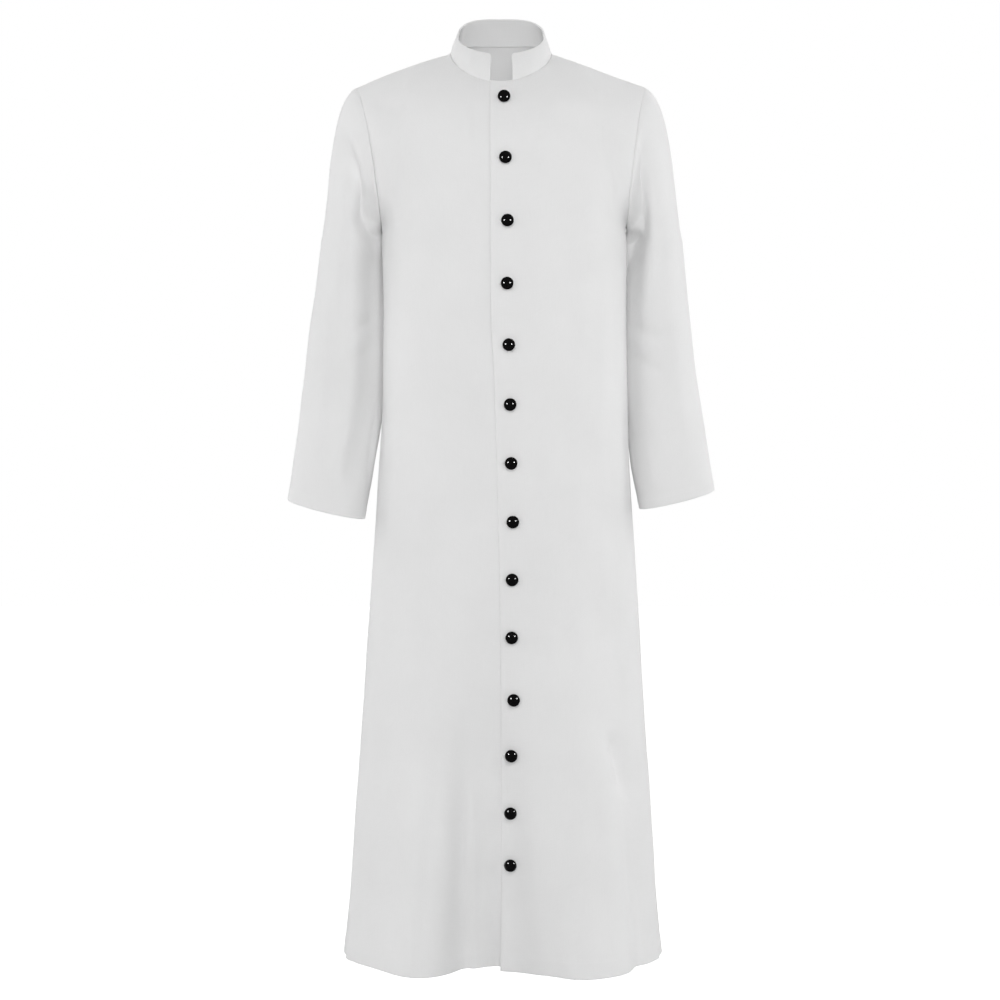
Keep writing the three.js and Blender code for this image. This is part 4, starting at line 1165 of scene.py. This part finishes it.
# Buttons: glossy domes on short shanks, each seated on the cloth under it. Radius and height, from the foot.
BUTTON_PROFILE = np.array([
    (0, 0), (2.1, 0), (2.5, 0.25), (2.35, 0.7), (2.3, 1.15), (2.7, 1.5), (4.0, 1.75), (5.8, 1.95), (7.4, 2.2),
    (8.4, 2.5), (8.85, 2.85), (9.0, 3.25), (8.92, 3.65), (8.62, 4.0), (8.1, 4.45), (7.4, 4.98), (6.55, 5.5),
    (5.6, 5.98), (4.6, 6.4), (3.55, 6.76), (2.5, 7.04), (1.45, 7.24), (0.6, 7.34), (0, 7.36),
])
BUTTON_PROFILE[6:, 0] *= BUTTON_RADIUS / BUTTON_PROFILE[:, 0].max()
BUTTON_TURNS = 48
BUTTON_DROOP = 0.8  # how far a button on its thread shank turns level again on sloping cloth
BUTTON_GAP = 0.3
BRIM_HIGH = 2.0  # how far the dome's brim stands above the foot


def button(number, button_z, button_x):
    place, up = on_over_front(button_x, button_z)
    up = unit(up * (1 - BUTTON_DROOP) + np.array([0.0, -1.0, 0.0]) * BUTTON_DROOP)
    offsets = over_places - place
    aside = np.hypot(offsets[:, 0], offsets[:, 2])
    foot_high = (offsets[aside < SHANK_RADIUS + 4] @ up).max()
    brim_high = (offsets[aside < BUTTON_RADIUS + 1] @ up).max() - BRIM_HIGH
    place = place + up * (max(0.0, foot_high, brim_high) + BUTTON_GAP)
    right = unit(np.cross([0, 0, 1.0], up))
    upward = np.cross(up, right)
    turns = 2 * np.pi * np.arange(BUTTON_TURNS)[:, None] / BUTTON_TURNS
    around = right * np.cos(turns) + upward * np.sin(turns)
    inner = BUTTON_PROFILE[1:-1]
    rings = place + around * inner[:, 0, None, None] + up * inner[:, 1, None, None]
    ends = [place + up * BUTTON_PROFILE[0, 1], place + up * BUTTON_PROFILE[-1, 1]]
    vertices = np.vstack([rings.reshape(-1, 3), *ends])
    at = np.arange(len(inner) * BUTTON_TURNS).reshape(len(inner), BUTTON_TURNS)
    at = np.hstack([at, at[:, :1]])
    low, high = (np.full(BUTTON_TURNS, len(vertices) - back) for back in (2, 1))
    base = np.stack([at[0, 1:], at[0, :-1], low], -1)
    crown = np.stack([at[-1, :-1], at[-1, 1:], high], -1)
    piece = make_mesh(f"dome_button_{number:02d}", vertices, [grid_faces(at), base, crown], [black_plastic])
    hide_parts(f"button_{number:02d}")
    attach(piece, "root")


for number, (button_z, button_x) in enumerate(BUTTONS, 1):
    button(number, button_z, button_x)

# Studio: an even white surround with soft lamps, and two small lamps that glint on the buttons.
# Each lamp has its place, what it is aimed at, its size and its power, in metres and watts.
ROBE = (0, 0, -0.65)
LAMPS = {
    "front": ((0.3, -4.2, -0.3), ROBE, (1.6, 1.4), 39.4),
    "front_high": ((0, -3.6, 1.8), ROBE, (1.6, 1.0), 46),
    "left_front": ((-3.2, -2.2, 0.2), ROBE, (1.2, 2.0), 17.6),
    "right_front": ((3.2, -2.2, 0.2), ROBE, (1.2, 2.0), 12.6),
    "left_side": ((-3.6, -0.3, 0.1), ROBE, (0.5, 2.0), 12.8),
    "right_side": ((3.6, -0.3, 0.1), ROBE, (0.5, 2.0), 17.4),
    "left_back": ((-3.3, 0.9, 0.3), ROBE, (1.0, 2.0), 29.5),
    "right_back": ((3.3, 0.9, 0.3), ROBE, (1.0, 2.0), 31),
    "back_left": ((-2.8, 2.7, 0.5), ROBE, (0.9, 2.0), 22),
    "back_right": ((2.8, 2.7, 0.5), ROBE, (0.9, 2.0), 22),
    "top": ((0, 1.5, 2.6), (0, 0, -0.1), (1.6, 1.0), 22),
    "neck": ((0, -0.03, -0.05), (0, 0.06, -0.08), (0.04, 0.02), 0.035),
    "glint_left": ((-2.2, -2.9, 0.1), (0, 0, -0.7), (0.42, 0.42), 44),
    "glint_right": ((2.2, -2.9, 0.1), (0, 0, -0.7), (0.42, 0.42), 44),
}


def area_light(name, at, aim, size, power):
    glint = name.startswith("glint")
    light = bpy.data.lights.new(name, "AREA")
    light.shape = "RECTANGLE"
    light.size, light.size_y = size
    light.energy = power
    lamp = bpy.data.objects.new(name, light)
    scene.collection.objects.link(lamp)
    lamp.location = at
    direction = unit(np.array(at, float) - np.array(aim, float))
    lamp.rotation_euler = (math.acos(direction[2]), 0, math.atan2(direction[1], direction[0]) + math.pi / 2)
    lamp.visible_camera = False
    lamp.visible_glossy = glint
    lamp.visible_diffuse = not glint


for name, values in LAMPS.items():
    area_light(name, *values)

world = bpy.data.worlds.new("surround")
scene.world = world
nodes = Nodes(world)
glow = nodes.span(nodes.add("LightPath", "Is Glossy Ray"), 0.22, 0.04)
seen = nodes.add("LightPath", "Is Camera Ray")
strength = nodes.add("Mix", "Result", {"Factor": seen, "A": glow, "B": 1.0})
nodes.feed(nodes.tree.nodes["Background"], {"Color": (1, 1, 1, 1), "Strength": strength})


def white_paper(nodes):
    """Paper that the camera sees as plain white."""
    return {
        "Base Color": (0.6, 0.6, 0.6, 1),
        "Roughness": 0.9,
        "Emission Color": (1, 1, 1, 1),
        "Emission Strength": nodes.span(nodes.add("LightPath", "Is Camera Ray"), 0.0, 1.0),
    }


FLOOR_HALF, FLOOR_Z = 20000, -1900
floor_corners = np.array([(-1, -1, 0), (1, -1, 0), (1, 1, 0), (-1, 1, 0)]) * FLOOR_HALF + (0, 0, FLOOR_Z)
paper = new_material("white_floor", white_paper)
floor = make_mesh("floor", floor_corners, [np.array([[0, 1, 2, 3]])], [paper])
floor.visible_glossy = False
